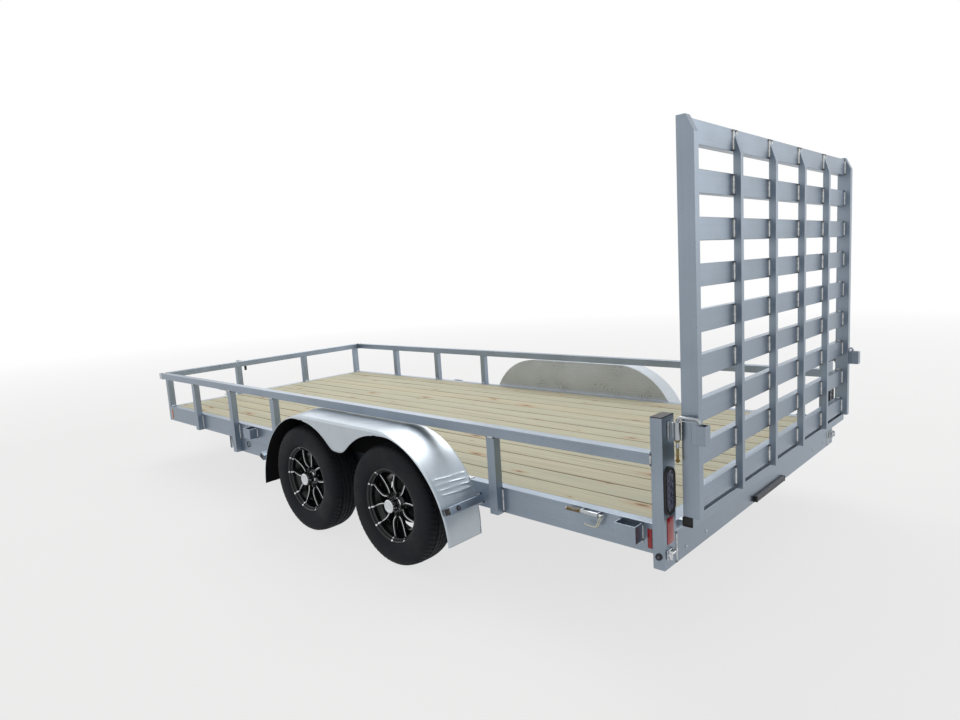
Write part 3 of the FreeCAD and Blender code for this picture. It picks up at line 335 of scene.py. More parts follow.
def swept(path, section, up=(0, 0, 1), scale=1.0, closed=False):
    """Section (side, up) points carried along a path: path + side * across + height * normal."""
    path = np.asarray(path, float)
    section = np.asarray(section, float)
    ahead = np.roll(path, -1, 0) - np.roll(path, 1, 0) if closed else np.gradient(path, axis=0)
    ahead /= np.linalg.norm(ahead, axis=1, keepdims=True)
    across = np.cross(ahead, up)
    across /= np.linalg.norm(across, axis=1, keepdims=True)
    normal = np.cross(across, ahead)
    scale = np.broadcast_to(np.asarray(scale, float), (len(path),))[:, None, None]
    shape = across[:, None] * section[None, :, :1] + normal[:, None] * section[None, :, 1:]
    rings = path[:, None] + scale * shape
    if closed:
        return rings.reshape(-1, 3), grid(len(path), len(section), True, True)
    return capped(rings)


def circle(radius, count):
    """Circle of count points in the section plane."""
    angle = round_angles(count)
    return np.stack([radius * np.cos(angle), radius * np.sin(angle)], -1)


def turned(profile, centre, axis, count, outline=None, closed=False):
    """Profile (radius, along) turned about an axis. outline(angle) scales the radius, as for a hexagon. A
    closed profile's last point is joined back to its first."""
    profile = np.asarray(profile, float)
    axis = np.asarray(axis, float) / np.linalg.norm(axis)
    helper = np.array((0.0, 0.0, 1.0)) if abs(axis[2]) < 0.9 else np.array((1.0, 0.0, 0.0))
    first = np.cross(axis, helper)
    first /= np.linalg.norm(first)
    second = np.cross(axis, first)
    angle = round_angles(count)
    shape = np.ones(count) if outline is None else outline(angle)
    spoke = (np.cos(angle)[:, None] * first + np.sin(angle)[:, None] * second) * shape[:, None]
    rings = np.asarray(centre) + profile[:, None, :1] * spoke[None] + profile[:, None, 1:] * axis
    return rings.reshape(-1, 3), grid(len(profile), count, closed, True)


def hexagon(angle):
    """Radius of a hexagon whose corners stand at 1, at each angle."""
    return math.cos(math.pi / 6) / np.cos((angle + math.pi / 6) % (math.pi / 3) - math.pi / 6)


def rounded_rectangle(half_width, half_height, radius, count=5):
    """Outline of a rectangle with round corners: each corner's centre plus points of a quarter circle."""
    turn = tour(0, math.pi / 2, count)[None, :] + (np.arange(4) * math.pi / 2)[:, None]
    across = np.array((1, -1, -1, 1))[:, None] * (half_width - radius) + radius * np.cos(turn)
    height = np.array((1, 1, -1, -1))[:, None] * (half_height - radius) + radius * np.sin(turn)
    return np.stack([across.ravel(), height.ravel()], -1)


def stacked(outlines, axis, places):
    """Flat outlines as rings in space: each lies across the axis, at its own place along it."""
    return np.stack([np.insert(outline, axis, place, axis=1) for outline, place in zip(outlines, places)])


def rounded_block(low, high, radius):
    """Block whose edges are round. Rings of a round-cornered rectangle rise in z and draw in by a quarter
    circle of the radius at both ends."""
    low = np.asarray(low, float)
    high = np.asarray(high, float)
    radius = min(radius, float(np.min(high - low)) / 2.01)
    turn = tour(0, math.pi / 2, 4)
    inset = radius * (1 - np.sin(turn))
    rise = radius * (1 - np.cos(turn))
    middle = (low + high) / 2
    half = (high - low) / 2
    outlines = [rounded_rectangle(half[0] - draw, half[1] - draw, radius - draw) + middle[:2]
                for draw in (*inset, *inset[::-1])]
    return capped(stacked(outlines, 2, (*(low[2] + rise), *(high[2] - rise[::-1]))))


def block(low, high, radius):
    """Rounded block given in millimetres."""
    return rounded_block(at(*low), at(*high), radius * MM)


def placed(surface, places, turns=None):
    """Copies of one surface at each place, each turned by its own 3 by 3 matrix if given."""
    points, quads = surface
    places = np.asarray(places, float).reshape(-1, 3)
    if turns is None:
        copies = points[None] + places[:, None]
    else:
        copies = np.einsum("nij,mj->nmi", np.asarray(turns, float), points) + places[:, None]
    shift = np.arange(len(places))[:, None, None] * len(points)
    return copies.reshape(-1, 3), (quads[None] + shift).reshape(-1, 4)


def flipped(surface):
    """Mirror image on the trailer's other side, its quads turned round so that they still face outwards."""
    points, quads = surface
    return points * (1, -1, 1), quads[:, ::-1]


def both_sides(*surfaces):
    """The surfaces as one, with their mirror image on the other side of the trailer."""
    one = joined(surfaces)
    return joined([one, flipped(one)])


def add_object(name, data):
    """Object with that data, linked to the scene."""
    made = bpy.data.objects.new(name, data)
    bpy.context.scene.collection.objects.link(made)
    return made


def make_piece(name, surface, body, slot, material, replaces=(), smooth=35, closed=True, uv=None,
               values=None):
    """Mesh object from a surface: doubles merged, normals outwards, shaded smooth up to an angle."""
    points, quads = surface
    mesh = bpy.data.meshes.new(name)
    mesh.vertices.add(len(points))
    mesh.vertices.foreach_set("co", np.asarray(points, np.float32).ravel())
    mesh.loops.add(quads.size)
    mesh.loops.foreach_set("vertex_index", np.asarray(quads, np.int32).ravel())
    mesh.polygons.add(len(quads))
    mesh.polygons.foreach_set("loop_start", np.arange(len(quads), dtype=np.int32) * 4)
    mesh.update(calc_edges=True)
    if uv is not None:
        layer = mesh.uv_layers.new(name="UVMap")
        layer.data.foreach_set("uv", np.asarray(uv, np.float32)[quads.ravel()].ravel())
    for label, numbers in (values or {}).items():
        layer = mesh.attributes.new(label, "FLOAT", "POINT")
        layer.data.foreach_set("value", np.asarray(numbers, np.float32))
    work = bmesh.new()
    work.from_mesh(mesh)
    bmesh.ops.remove_doubles(work, verts=work.verts, dist=2e-6)
    bmesh.ops.dissolve_degenerate(work, edges=work.edges, dist=1e-6)
    if closed:
        bmesh.ops.recalc_face_normals(work, faces=work.faces)
    work.to_mesh(mesh)
    work.free()
    mesh.shade_smooth()
    mesh.set_sharp_from_angle(angle=math.radians(smooth))
    piece = add_object(name, mesh)
    mesh.materials.append(finish(material))
    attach(piece, body)
    if replaces:
        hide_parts(*replaces)
    return piece


# Sizes shared by the pieces, in metres

def at(x, y, z):
    """Point given in millimetres."""
    return np.array((x, y, z), float) * MM


def low_high(node):
    """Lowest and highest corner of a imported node, as arrays."""
    low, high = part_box(node)
    return np.array(low), np.array(high)


# Deck

PLANK_SPREAD = 0.001
PLANK_EASE = 0.004


def plank_surface(low, high, seed):
    """One plank: a rectangle with eased edges, carried along x. Its top rises and falls by under a
    millimetre as the sum of two sine waves along the length, and the plank bends sideways by half a
    millimetre. It is drawn wider than its share by the spread on each side, which narrows the gaps."""
    stations = 40
    half = (high[1] - low[1]) / 2 + PLANK_SPREAD
    tall = (high[2] - low[2]) / 2 - 0.0008
    section = rounded_rectangle(half, tall, PLANK_EASE, 4)
    x = tour(low[0], high[0], stations)
    middle = (low + high) / 2
    wave = 0.0004 * (np.sin(2.3 * x + seed) + np.sin(5.1 * x + 2.7 * seed))
    side = 0.0005 * np.sin(1.7 * x + 4.1 * seed)
    y = middle[1] + side[:, None] + section[None, :, 0]
    z = middle[2] + (wave[:, None] - 0.0004) * (section[None, :, 1] > 0) + section[None, :, 1]
    rings = np.stack([np.broadcast_to(x[:, None], y.shape), y, z], -1)
    points, quads = capped(rings)
    girth = np.concatenate([[0], np.cumsum(np.linalg.norm(np.diff(section, axis=0), axis=1))])
    along = np.concatenate([x[:1], x, x[-1:]])
    uv = np.stack(np.broadcast_arrays(along[:, None], girth[None, :]), -1).reshape(-1, 2)
    # flank is 1 on the plank's side faces, which the wood finish darkens as painted shade in the gaps.
    flank = np.tile((np.abs(section[:, 1]) < tall - 0.0005).astype(float), stations + 2)
    return (points, quads), uv, flank


class TRAILER_OT_deck(bpy.types.Operator):
    """Planks with eased edges and slight waves, each with its own grain"""
    bl_idname = "trailer.deck"
    bl_label = "Deck planks"

    def execute(self, context):
        sizes = context.scene.trailer_sizes
        low, high = low_high("deck_boards")
        count = sizes.plank_count
        gap = ((high[1] - low[1]) - count * sizes.plank_width) / (count - 1)
        surfaces = []
        uvs = []
        numbers = []
        flanks = []
        for index in range(count):
            start = low[1] + index * (sizes.plank_width + gap)
            one_low = np.array((low[0], start, low[2]))
            one_high = np.array((high[0], start + sizes.plank_width, high[2]))
            surface, uv, flank = plank_surface(one_low, one_high, 1.3 * index)
            surfaces.append(surface)
            flanks.append(flank)
            uvs.append(uv)
            numbers.append(np.full(len(uv), 1.0 + index))
        make_piece("deck_planks", joined(surfaces), "frame", "deck_wood", "treated_pine",
                   replaces=["deck_boards"], smooth=50, uv=np.concatenate(uvs),
                   values={"plank": np.concatenate(numbers), "flank": np.concatenate(flanks)})
        return {"FINISHED"}


# Wheels

TYRE_RADIUS = 0.340
BEAD_RADIUS = 0.1903
SHOULDER = 6


def wheel_centre(place, side):
    """Centre of a wheel, from its packed tyre."""
    low, high = low_high(f"tyre_{place}_{side}")
    return (low + high) / 2


def tyre_surface(half_width):
    """Tyre about its own axis. The section is a closed loop of (radius, across) points. Four grooves dip
    into the tread. Sipes dip by a square wave round the tyre, and each wall has two raised rings."""
    turns = 264
    tread = tour(-1, 1, 45)
    across = tread * half_width * 0.76
    radius = TYRE_RADIUS - 0.0085 * np.abs(tread) ** 3.2
    groove = np.zeros_like(tread)
    for place in (-0.52, -0.17, 0.17, 0.52):
        groove = np.maximum(groove, np.clip(1.6 - np.abs(tread - place) / 0.035, 0, 1))
    wall_turn = tour(0, 1, 20)[1:]
    knots_r = np.array((0.3315, 0.322, 0.305, 0.28, 0.255, 0.232, 0.2135, 0.2083, BEAD_RADIUS))
    knots_y = np.array((0.0755, 0.0885, 0.0965, 0.0988, 0.0985, 0.0945, 0.0868, 0.0800, 0.0757))
    place = tour(0, 1, len(knots_r))
    wall_r = np.interp(wall_turn, place, knots_r)
    wall_y = np.interp(wall_turn, place, knots_y) * half_width / 0.099
    ring = 0.0011 * (np.exp(-((wall_r - 0.308) / 0.0022) ** 2) + np.exp(-((wall_r - 0.232) / 0.002) ** 2))
    wall_y = np.minimum(wall_y + ring, half_width)
    inner_r = np.array((BEAD_RADIUS, 0.2, 0.24, 0.29, 0.316))
    inner_y = np.array((0.058, 0.062, 0.078, 0.082, 0.06))
    half = np.concatenate([np.stack([wall_r, wall_y], -1), np.stack([inner_r, inner_y], -1)])
    section = np.concatenate([np.stack([radius, across], -1), half, half[::-1] * (1, -1)])
    section_r, section_y = section.T
    rest = np.zeros(len(section) - len(tread) - SHOULDER)
    depth = np.concatenate([groove, np.zeros(SHOULDER), rest])
    spot = np.concatenate([tread, np.ones(SHOULDER), rest])
    fade = np.concatenate([np.ones(len(tread)), tour(0.9, 0.1, SHOULDER), rest])
    angle = round_angles(turns)
    step = np.arange(turns)[:, None]
    sipe = (step + np.round(spot * 3)[None]) % 4 < 1
    reach = (np.abs(spot) > 0.62) & (np.abs(spot) <= 1.0)
    cut = 0.0075 * depth[None] + 0.0042 * sipe * (reach * fade)[None] * (1 - depth[None])
    fine = (step % 4 == 2) & (np.abs(spot) < 0.5)[None] & (depth < 0.1)[None]
    r = section_r[None] - cut - 0.0022 * fine
    rings = np.stack([r * np.sin(angle)[:, None], np.broadcast_to(section_y, r.shape),
                      -r * np.cos(angle)[:, None]], -1)
    return rings.reshape(-1, 3), grid(turns, len(section_r), True, True)


class TRAILER_OT_tyres(bpy.types.Operator):
    """Ribbed trailer tyres with grooves, sipes and wall rings"""
    bl_idname = "trailer.tyres"
    bl_label = "Tyres"

    def execute(self, context):
        low, high = low_high("tyre_rear_left")
        base = tyre_surface((high[1] - low[1]) / 2)
        for place, side, _ in WHEELS:
            node = f"tyre_{place}_{side}"
            surface = placed(base, [wheel_centre(place, side)])
            make_piece(f"treaded_tyre_{place}_{side}", surface, f"wheel_{place}_{side}", "tyre_rubber",
                       "moulded_tyre_rubber", replaces=[node], smooth=42)
        return {"FINISHED"}


# Wheel discs, hubs and nuts

SPOKES = 5
SPOKE_TURNS = {"rear_left": 48.0, "front_left": 71.8, "rear_right": 5.0, "front_right": 52.0}
NUT_CIRCLE = 0.05715


def polar(radius, angle, y):
    """Points about the wheel's axis: the angle runs from straight up towards +x."""
    radius, angle, y = np.broadcast_arrays(np.asarray(radius, float), angle, y)
    return np.stack([radius * np.sin(angle), y, radius * np.cos(angle)], -1)


def wheel_ring(radius, along, count):
    """Closed section (radius, along) turned about the wheel's axis. Radius may have a row for each angle."""
    rings = polar(radius, round_angles(count)[:, None], along[None])
    return rings.reshape(-1, 3), grid(count, len(along), True, True)


def barrel_surface():
    """Rim barrel: a closed section of flanges, bead seats and drop centre, turned about the axis."""
    section = np.array(((208.0, 79.5), (207.4, 81.8), (205.4, 83.0), (203.0, 82.6), (201.0, 80.6),
                        (198.0, 77.4), (192.0, 74.0), (186.5, 70.0), (183.6, 63.0), (183.2, 52.0),
                        (180.0, 40.0), (166.0, 22.0), (158.2, 8.0), (158.0, -36.0), (170.0, -46.0),
                        (184.0, -54.0), (184.0, -78.0), (188.0, -82.0), (205.4, -83.0), (208.0, -81.0),
                        (208.0, -77.0), (206.0, -76.0), (196.0, -76.0), (190.6, -74.0), (190.0, -70.0),
                        (190.0, -54.0), (176.0, -44.0), (164.0, -34.0), (164.0, 12.0), (172.0, 26.0),
                        (190.0, 44.0), (190.0, 70.0), (190.6, 74.0), (196.0, 76.0), (206.0, 76.0),
                        (208.0, 77.0))) * MM
    return wheel_ring(section[:, 0], section[:, 1], 120)


def arm_line(side, count):
    """Centre line of one arm of a forked spoke: radius, angle and height. The arm's offset from the spoke's
    middle and its height both close in on their final values as 1 - exp(-run), so the fork opens fast at its
    root and then runs almost straight to the rim."""
    radius = tour(0.0605, 0.1885, count)
    run = (radius - 0.0605) / 0.028
    angle = side * np.arcsin(0.0445 * (1 - np.exp(-run)) / radius)
    height = 0.0365 + 0.0205 * (1 - np.exp(-(radius - 0.048) / 0.028))
    return radius, angle, height


def arm_surface(side, turn):
    """One arm: a section with a chamfered face and a flat back, carried along the arm's line."""
    count = 30
    radius, angle, height = arm_line(side, count)
    step = tour(0, 1, count)
    width = np.interp(step, (0, 0.15, 0.4, 0.85, 1), (0.0125, 0.0098, 0.0078, 0.0078, 0.0105))
    depth = np.interp(step, (0, 0.5, 1), (0.020, 0.021, 0.023))
    section = np.array(((-1, -0.92), (-0.86, -1.0), (0.86, -1.0), (1, -0.92), (1.0, -0.2), (0.74, 0.0),
                        (-0.74, 0.0), (-1.0, -0.2)))
    sideways = section[None, :, 0] * width[:, None]
    rings = polar(radius[:, None], turn + angle[:, None] + sideways / radius[:, None],
                  height[:, None] + section[None, :, 1] * depth[:, None])
    return capped(rings)


def inlay_surface(side, turn):
    """Bright machined line of an arm: a low ridge carried along the arm's outer edge and then out over the
    rim's lip, where it widens to a tick."""
    radius, angle, height = arm_line(side, 34)
    lip = np.array((0.1855, 0.1870, 0.1920, 0.1960, 0.1990, 0.2015, 0.2035))
    radius = np.concatenate([radius[:-2], lip])
    rise = np.interp(lip, (0.1835, 0.1865, 0.192, 0.198, 0.201, 0.203, 0.2054),
                     (0.063, 0.070, 0.074, 0.0774, 0.0806, 0.0826, 0.083))
    height = np.concatenate([height[:-2], rise])
    angle = np.concatenate([angle[:-2], np.full(len(lip), angle[-3])])
    half = np.interp(radius, (0.06, 0.075, 0.182, 0.1865, 0.2035), (0.0018, 0.0026, 0.0024, 0.0046, 0.0056))
    section = np.array(((-1, -1.5), (1, -1.5), (1, 0.45), (0.6, 0.9), (-0.6, 0.9), (-1, 0.45)))
    offset = side * 0.0034 + section[None, :, 0] * half[:, None]
    rings = polar(radius[:, None], turn + angle[:, None] + offset / radius[:, None],
                  height[:, None] + section[None, :, 1] * 0.0012)
    return capped(rings)


def hub_plate_surface(turn):
    """Centre of the wheel disc: a plate turned about the axis whose edge swells towards the five spokes."""
    profile = np.array(((36.5, 8.0), (60.0, 8.0), (66.0, 9.5), (68.0, 16.0), (67.0, 32.0), (63.0, 36.5),
                        (50.0, 37.5), (42.0, 37.2), (38.5, 36.0), (36.5, 33.0))) * MM
    count = 100
    swell = 1 + 0.16 * np.maximum(0, np.cos(SPOKES * (round_angles(count) - turn))) ** 2
    reach = np.where(profile[:, 0] > 0.045, 1.0, 0.0)
    radius = profile[None, :, 0] * (1 + reach[None] * (swell[:, None] - 1))
    return wheel_ring(radius, profile[:, 1], count)


def nut_surface():
    """Lug nut along +Y from the disc: a tapered seat, a hexagon and a domed end."""
    seat = turned(((0.0, 0.033), (0.0128, 0.033), (0.0128, 0.0385), (0.0108, 0.0410), (0.0, 0.0410)),
                  (0, 0, 0), (0, 1, 0), 18)
    flats = turned(((0.0, 0.0405), (0.0108, 0.0405), (0.0112, 0.0425), (0.0112, 0.0530), (0.0102, 0.0550),
                    (0.0, 0.0550)), (0, 0, 0), (0, 1, 0), 30, hexagon)
    dome = turned(((0.0, 0.0545), (0.009, 0.0545), (0.0082, 0.0585), (0.0055, 0.0612), (0.0, 0.0622)),
                  (0, 0, 0), (0, 1, 0), 16)
    return joined([seat, flats, dome])


def drum_surface():
    """Hub and brake drum: one section of barrel, flange and drum, turned about the axis."""
    profile = np.array(((19.05, 30.0), (19.05, -72.0), (34.0, -74.0), (36.0, -70.0), (36.0, -44.0),
                        (40.0, -41.0), (120.0, -41.0), (123.5, -44.0), (124.0, -84.0), (126.0, -86.0),
                        (130.5, -86.0), (132.0, -84.5), (132.0, -78.0), (129.0, -76.5), (129.0, -73.0),
                        (132.0, -71.5), (132.0, -38.5), (129.0, -34.0), (118.0, -33.0), (60.0, -33.0),
                        (46.0, -30.0), (40.0, -20.0), (40.0, -6.5), (44.0, -2.0), (66.0, -1.0), (70.5, 0.5),
                        (72.0, 3.0), (72.0, 7.8), (36.0, 7.9), (36.0, 26.0), (34.0, 28.5),
                        (19.5, 30.0))) * MM
    return wheel_ring(profile[:, 0], profile[:, 1], 96)


def cap_surface():
    """Hub cap: a cup with a rolled foot, a step, knurling round its rim and a shallow dished end. The
    knurl cuts the radius by 0.7 mm at every third step."""
    profile = np.array(((30.0, 22.0), (36.0, 22.0), (36.0, 35.0), (39.4, 36.5), (39.6, 39.0), (38.4, 41.0),
                        (36.4, 43.0), (36.0, 60.0), (36.0, 76.0), (37.4, 78.5), (38.0, 81.0), (38.0, 89.0),
                        (37.0, 92.5), (34.5, 95.0), (31.0, 96.0), (27.0, 95.6), (25.0, 94.2), (12.0, 93.2),
                        (0.0, 93.0))) * MM
    count = 90
    angle = round_angles(count)
    knurl = ((profile[:, 1] > 0.080) & (profile[:, 1] < 0.090)).astype(float)
    radius = profile[None, :, 0] - 0.0007 * knurl[None] * (np.arange(count)[:, None] % 3 == 0)
    rings = polar(radius, angle[:, None], profile[None, :, 1])
    closed = np.concatenate([rings, np.broadcast_to(np.array((0, 0.022, 0)), (count, 1, 3))], axis=1)
    return closed.reshape(-1, 3), grid(count, closed.shape[1], True, False)


class TRAILER_OT_wheels(bpy.types.Operator):
    """Black wheels with forked spokes, machined lines and ticks, hubs, caps and lug nuts"""
    bl_idname = "trailer.wheels"
    bl_label = "Wheels"

    def execute(self, context):
        for place, side, sign in WHEELS:
            key = f"{place}_{side}"
            body = f"wheel_{key}"
            start = math.radians(SPOKE_TURNS[key])
            turns = start + np.arange(SPOKES) * TURN / SPOKES
            black = [barrel_surface(), hub_plate_surface(start)]
            bright = []
            for turn in turns:
                for arm in (-1, 1):
                    black.append(arm_surface(arm, turn))
                    bright.append(inlay_surface(arm, turn))
            nuts = [placed(nut_surface(), polar(NUT_CIRCLE, turn, 0.0)[None]) for turn in turns]
            hidden_hub = [f"hub_{key}"]
            for name, surfaces, slot, look, hidden in (
                    ("disc", black, "black_rim", "gloss_black_paint", [f"rim_{key}"]),
                    ("disc_lines", bright, "black_rim", "machined_aluminium", []),
                    ("drum", [drum_surface()], "cast_hub", "cast_iron", hidden_hub),
                    ("hub_cap", [cap_surface()], "cast_hub", "machined_aluminium", []),
                    ("lug_nuts", nuts, "cast_hub", "gloss_black_paint", [])):
                surface = joined(surfaces)
                if sign < 0:
                    surface = flipped(surface)
                surface = placed(surface, [wheel_centre(place, side)])
                make_piece(f"{name}_{key}", surface, body, slot, look, replaces=hidden, smooth=32)
        return {"FINISHED"}


# Fenders

SIDE_STEPS = 128
TOP_STEPS = 110


def arch_line(radius, spread, fender):
    """Outline of the fender in the side view from its rear foot to its front foot: a side, a flat top and
    the same side again. A side is sampled evenly along an upright leg and then a quarter circle. Gives x, z
    and the outward direction at each step."""
    middle, top, foot = fender
    centre_z = top - radius
    leg = max(centre_z - foot, 0)
    start = math.asin(max(foot - centre_z, 0) / radius)
    run = tour(0, leg + radius * (math.pi / 2 - start), SIDE_STEPS + 1)[:-1]
    turn = start + np.clip(run - leg, 0, None) / radius
    side_x = spread + radius * np.cos(turn)
    side_z = centre_z + radius * np.sin(turn) + np.clip(run - leg, None, 0)
    along = tour(-1, 1, TOP_STEPS + 1)
    x = middle + np.concatenate([-side_x, spread * along, side_x[::-1]])
    z = np.concatenate([side_z, np.full(len(along), top), side_z[::-1]])
    out_x = np.concatenate([-np.cos(turn), np.zeros(len(along)), np.cos(turn[::-1])])
    out_z = np.concatenate([np.sin(turn), np.ones(len(along)), np.sin(turn[::-1])])
    return x, z, out_x, out_z


FENDER_INNER_RADIUS = 0.480
FENDER_OUTER_RADIUS = 0.562
FENDER_SPREAD = 0.345
WHEEL_ARCH = (0.380, 0.315, 0.420)
ARCH_TIP = 0.018
SKIRT_LEVEL = 0.584
ARCH_MEETING = 0.590
SHEET_DROP = 0.0042
ROLL_WIDTH = 0.024
FENDER_RIB_FOOT = 0.478
FENDER_RIB_PITCH = 0.024


def skirt_edge(x, middle):
    """Height of the skirt's lower edge over the flat top: two wheel arches, circles of WHEEL_ARCH (offset
    from the middle, height, radius), that meet in a blunt tip. A smooth maximum rounds the tip."""
    offset, height, radius = WHEEL_ARCH
    away = np.clip(offset - np.abs(x - middle), 0, radius)
    arch = height + np.sqrt(radius ** 2 - away ** 2)
    rise = np.clip((arch - ARCH_MEETING) / ARCH_TIP, -30, 30)
    return SKIRT_LEVEL + ARCH_TIP * np.log1p(np.exp(rise))


def fender_surface(low, high):
    """Fender skin and skirt. Across, it is ruled from the inner outline to the outer one, then follows a
    quarter ellipse over the rolled edge and runs down the skirt. The roll and the lip below it are deep over
    the flat top and shallow on the two quarter circles. Four ribs at the rear raise it by a squared cosine
    of the height. An upright lining closes the wheel well towards the deck; with the fender's black inner
    wall it is painted shade for the dark wheel well. A wall is added inwards by Solidify."""
    middle = (low[0] + high[0]) / 2
    fender = (middle, high[2], low[2])
    inner_y = 1.070
    outer_y = high[1]
    rows = []
    for share in tour(0, 1, 22):
        radius = FENDER_INNER_RADIUS + (FENDER_OUTER_RADIUS - FENDER_INNER_RADIUS) * share
        spread = FENDER_SPREAD + FENDER_OUTER_RADIUS - radius
        x, z, out_x, out_z = arch_line(radius, spread, fender)
        rib = np.zeros_like(z)
        for index in range(4):
            away = np.clip((z - FENDER_RIB_FOOT - FENDER_RIB_PITCH * index) / 0.0062, -1, 1)
            rib = np.maximum(rib, np.cos(away * math.pi / 2) ** 2)
        rib *= 0.0038 * (x < middle) * np.clip(12 * share, 0, 1) * np.clip(14 * (1 - share), 0, 1)
        y = inner_y + share * (outer_y - ROLL_WIDTH - inner_y)
        rise = rib - SHEET_DROP
        rows.append(np.stack([x + out_x * rise, np.full_like(x, y), z + out_z * rise], -1))
    x, y, z = rows[0].T
    below = np.minimum(z, 0.515)
    lining = [np.stack([x, y + 0.0006, below + (z - below) * share], -1) for share in (0.0, 0.25, 0.5, 0.75)]
    rows = lining + rows
    x, z, out_x, out_z = arch_line(FENDER_OUTER_RADIUS, FENDER_SPREAD, fender)
    lean = np.degrees(np.arctan2(np.abs(out_x), out_z))
    roll_depth = np.interp(lean, (0, 6, 26), (0.0150, 0.0150, 0.0060))
    depth = np.where(lean > 0.01, np.interp(lean, (0, 5, 14, 22, 30), (0.033, 0.031, 0.017, 0.0125, 0.0115)),
                     high[2] - skirt_edge(x, middle))
    edge = [(-SHEET_DROP - roll_depth * (1 - math.cos(turn)), ROLL_WIDTH * (1 - math.sin(turn)))
            for turn in tour(0, math.pi / 2, 11)[1:]]
    edge += [(-SHEET_DROP - roll_depth - (depth - SHEET_DROP - roll_depth) * share, 0.0008 * share)
             for share in tour(0, 1, 12)[1:]]
    for rise, dent in edge:
        rows.append(np.stack([x + out_x * rise, np.full_like(x, outer_y - dent), z + out_z * rise], -1))
    rings = np.stack(rows[::-1])
    return rings.reshape(-1, 3), grid(rings.shape[0], rings.shape[1])


class TRAILER_OT_fenders(bpy.types.Operator):
    """Fenders with a rolled edge, pressed ribs and a skirt between the wheels"""
    bl_idname = "trailer.fenders"
    bl_label = "Fenders"

    def execute(self, context):
        low, high = low_high("fender_left")
        surface = fender_surface(low, high)
        for side, sign in SIDES:
            one = surface if sign > 0 else flipped(surface)
            piece = make_piece(f"formed_fender_{side}", one, "frame", "aluminium", "rolled_aluminium_sheet",
                               replaces=[f"fender_{side}"], smooth=40, closed=False)
            # Black inner wall: painted shade for the dark wheel well.
            piece.data.materials.append(finish("sprayed_undercoat"))
            wall = piece.modifiers.new("wall", "SOLIDIFY")
            wall.thickness = 0.0028
            wall.offset = -1.0
            wall.material_offset = 1
        return {"FINISHED"}


# Tread plate

def lozenge_surface(length, width, height):
    """One raised lozenge: on a grid of two parameters from -1 to 1 its outline narrows as 1 - u squared and
    its height falls as (1 - u squared) times (1 - v squared) to the power 0.7. Its foot is sunk slightly
    into the plate."""
    u, v = np.meshgrid(tour(-1, 1, 7), (-1.0, 0.0, 1.0), indexing="ij")
    x = u * length / 2
    y = v * width / 2 * (1 - u ** 2 * 0.98)
    z = height * (1 - u ** 2) * (1 - v ** 2) ** 0.7
    top = np.stack([x, y, z], -1)
    foot = np.stack([x, y, np.full_like(z, -0.0004)], -1)
    points = np.concatenate([top.reshape(-1, 3), foot.reshape(-1, 3)])
    quads = grid(7, 3)
    edge = np.concatenate([np.arange(7) * 3, (19, 20), np.arange(5, -1, -1) * 3 + 2, (1,)])
    after = np.roll(edge, -1)
    rim = np.stack([edge, after, after + 21, edge + 21], -1)
    return points, np.concatenate([quads, quads[:, ::-1] + 21, rim])


class TRAILER_OT_tread(bpy.types.Operator):
    """Raised lozenges on the tread-plate panels, alternating between two directions"""
    bl_idname = "trailer.tread"
    bl_label = "Tread plate"

    def execute(self, context):
        low, high = low_high("fender_panels")
        panel_y = 1.067
        radius = FENDER_INNER_RADIUS - 0.012
        spread = FENDER_SPREAD + FENDER_OUTER_RADIUS - FENDER_INNER_RADIUS
        middle = (low[0] + high[0]) / 2
        top = high[2]
        pitch = 0.0225
        x = np.arange(low[0], high[0], pitch)
        z = np.arange(low[2] + 0.016, top - 0.008, pitch)
        row, column = np.meshgrid(np.arange(len(x)), np.arange(len(z)), indexing="ij")
        px = x[row]
        pz = z[column]
        beyond = np.clip(np.abs(px - middle) - spread, 0, None)
        inside = np.hypot(beyond, np.clip(pz - (top - FENDER_INNER_RADIUS), 0, None)) < radius
        lean = np.where((row + column) % 2 == 0, 1, -1)[inside] * math.radians(45)
        zero = np.zeros_like(lean)
        turns = np.stack([np.stack([np.cos(lean), np.sin(lean), zero], -1),
                          np.stack([zero, zero, zero - 1], -1),
                          np.stack([-np.sin(lean), np.cos(lean), zero], -1)], 1)
        places = np.stack([px[inside], np.full(inside.sum(), panel_y), pz[inside]], -1)
        surface = placed(lozenge_surface(0.025, 0.0085, 0.0018), places, turns)
        make_piece("tread_lozenges", both_sides(surface), "frame", "tread_plate", "rolled_tread_plate",
                   smooth=60)
        return {"FINISHED"}


# Welds

def bead(start, end, radius=0.0038):
    """Weld bead: a seven-sided section carried from start to end. It swells and sinks once every 7 mm, as
    drops of weld metal lie on each other, and swells a little at both ends, where soot gathers. Gives the
    soot too."""
    start = np.asarray(start, float) * MM
    end = np.asarray(end, float) * MM
    length = np.linalg.norm(end - start)
    step = tour(0, 1, max(int(length / 0.0028), 8))
    from_end = np.minimum(step, 1 - step) * length
    size = (1 + 0.17 * np.sin(TURN * step * length / 0.007)) * (1 + 0.25 * np.exp(-(from_end / 0.004) ** 2))
    up = (1, 0, 0) if abs(end[2] - start[2]) > 0.5 * length else (0, 0, 1)
    points, quads = swept(start + (end - start) * step[:, None], circle(radius, 7), up, size)
    soot = np.exp(-(from_end / 0.007) ** 2)
    return points, quads, np.repeat(np.concatenate([soot[:1], soot, soot[-1:]]), 7)


def weld_piece(name, beads, body, slot, sides):
    """Weld beads as one piece on one side or both sides, with their soot."""
    surface = joined(beads) if sides == 1 else both_sides(*beads)
    soot = np.tile(np.concatenate([one[2] for one in beads]), sides)
    make_piece(name, surface, body, slot, "aluminium_weld", smooth=70, values={"soot": soot})


RUNG_COUNT = 9
RUNG_FOOT = 572.0
RUNG_PITCH = 177.8
RUNG_HEIGHT = 88.9
RUNG_END = 998.0
RUNG_FACE = -3126.0
GATE_RIBS = 4


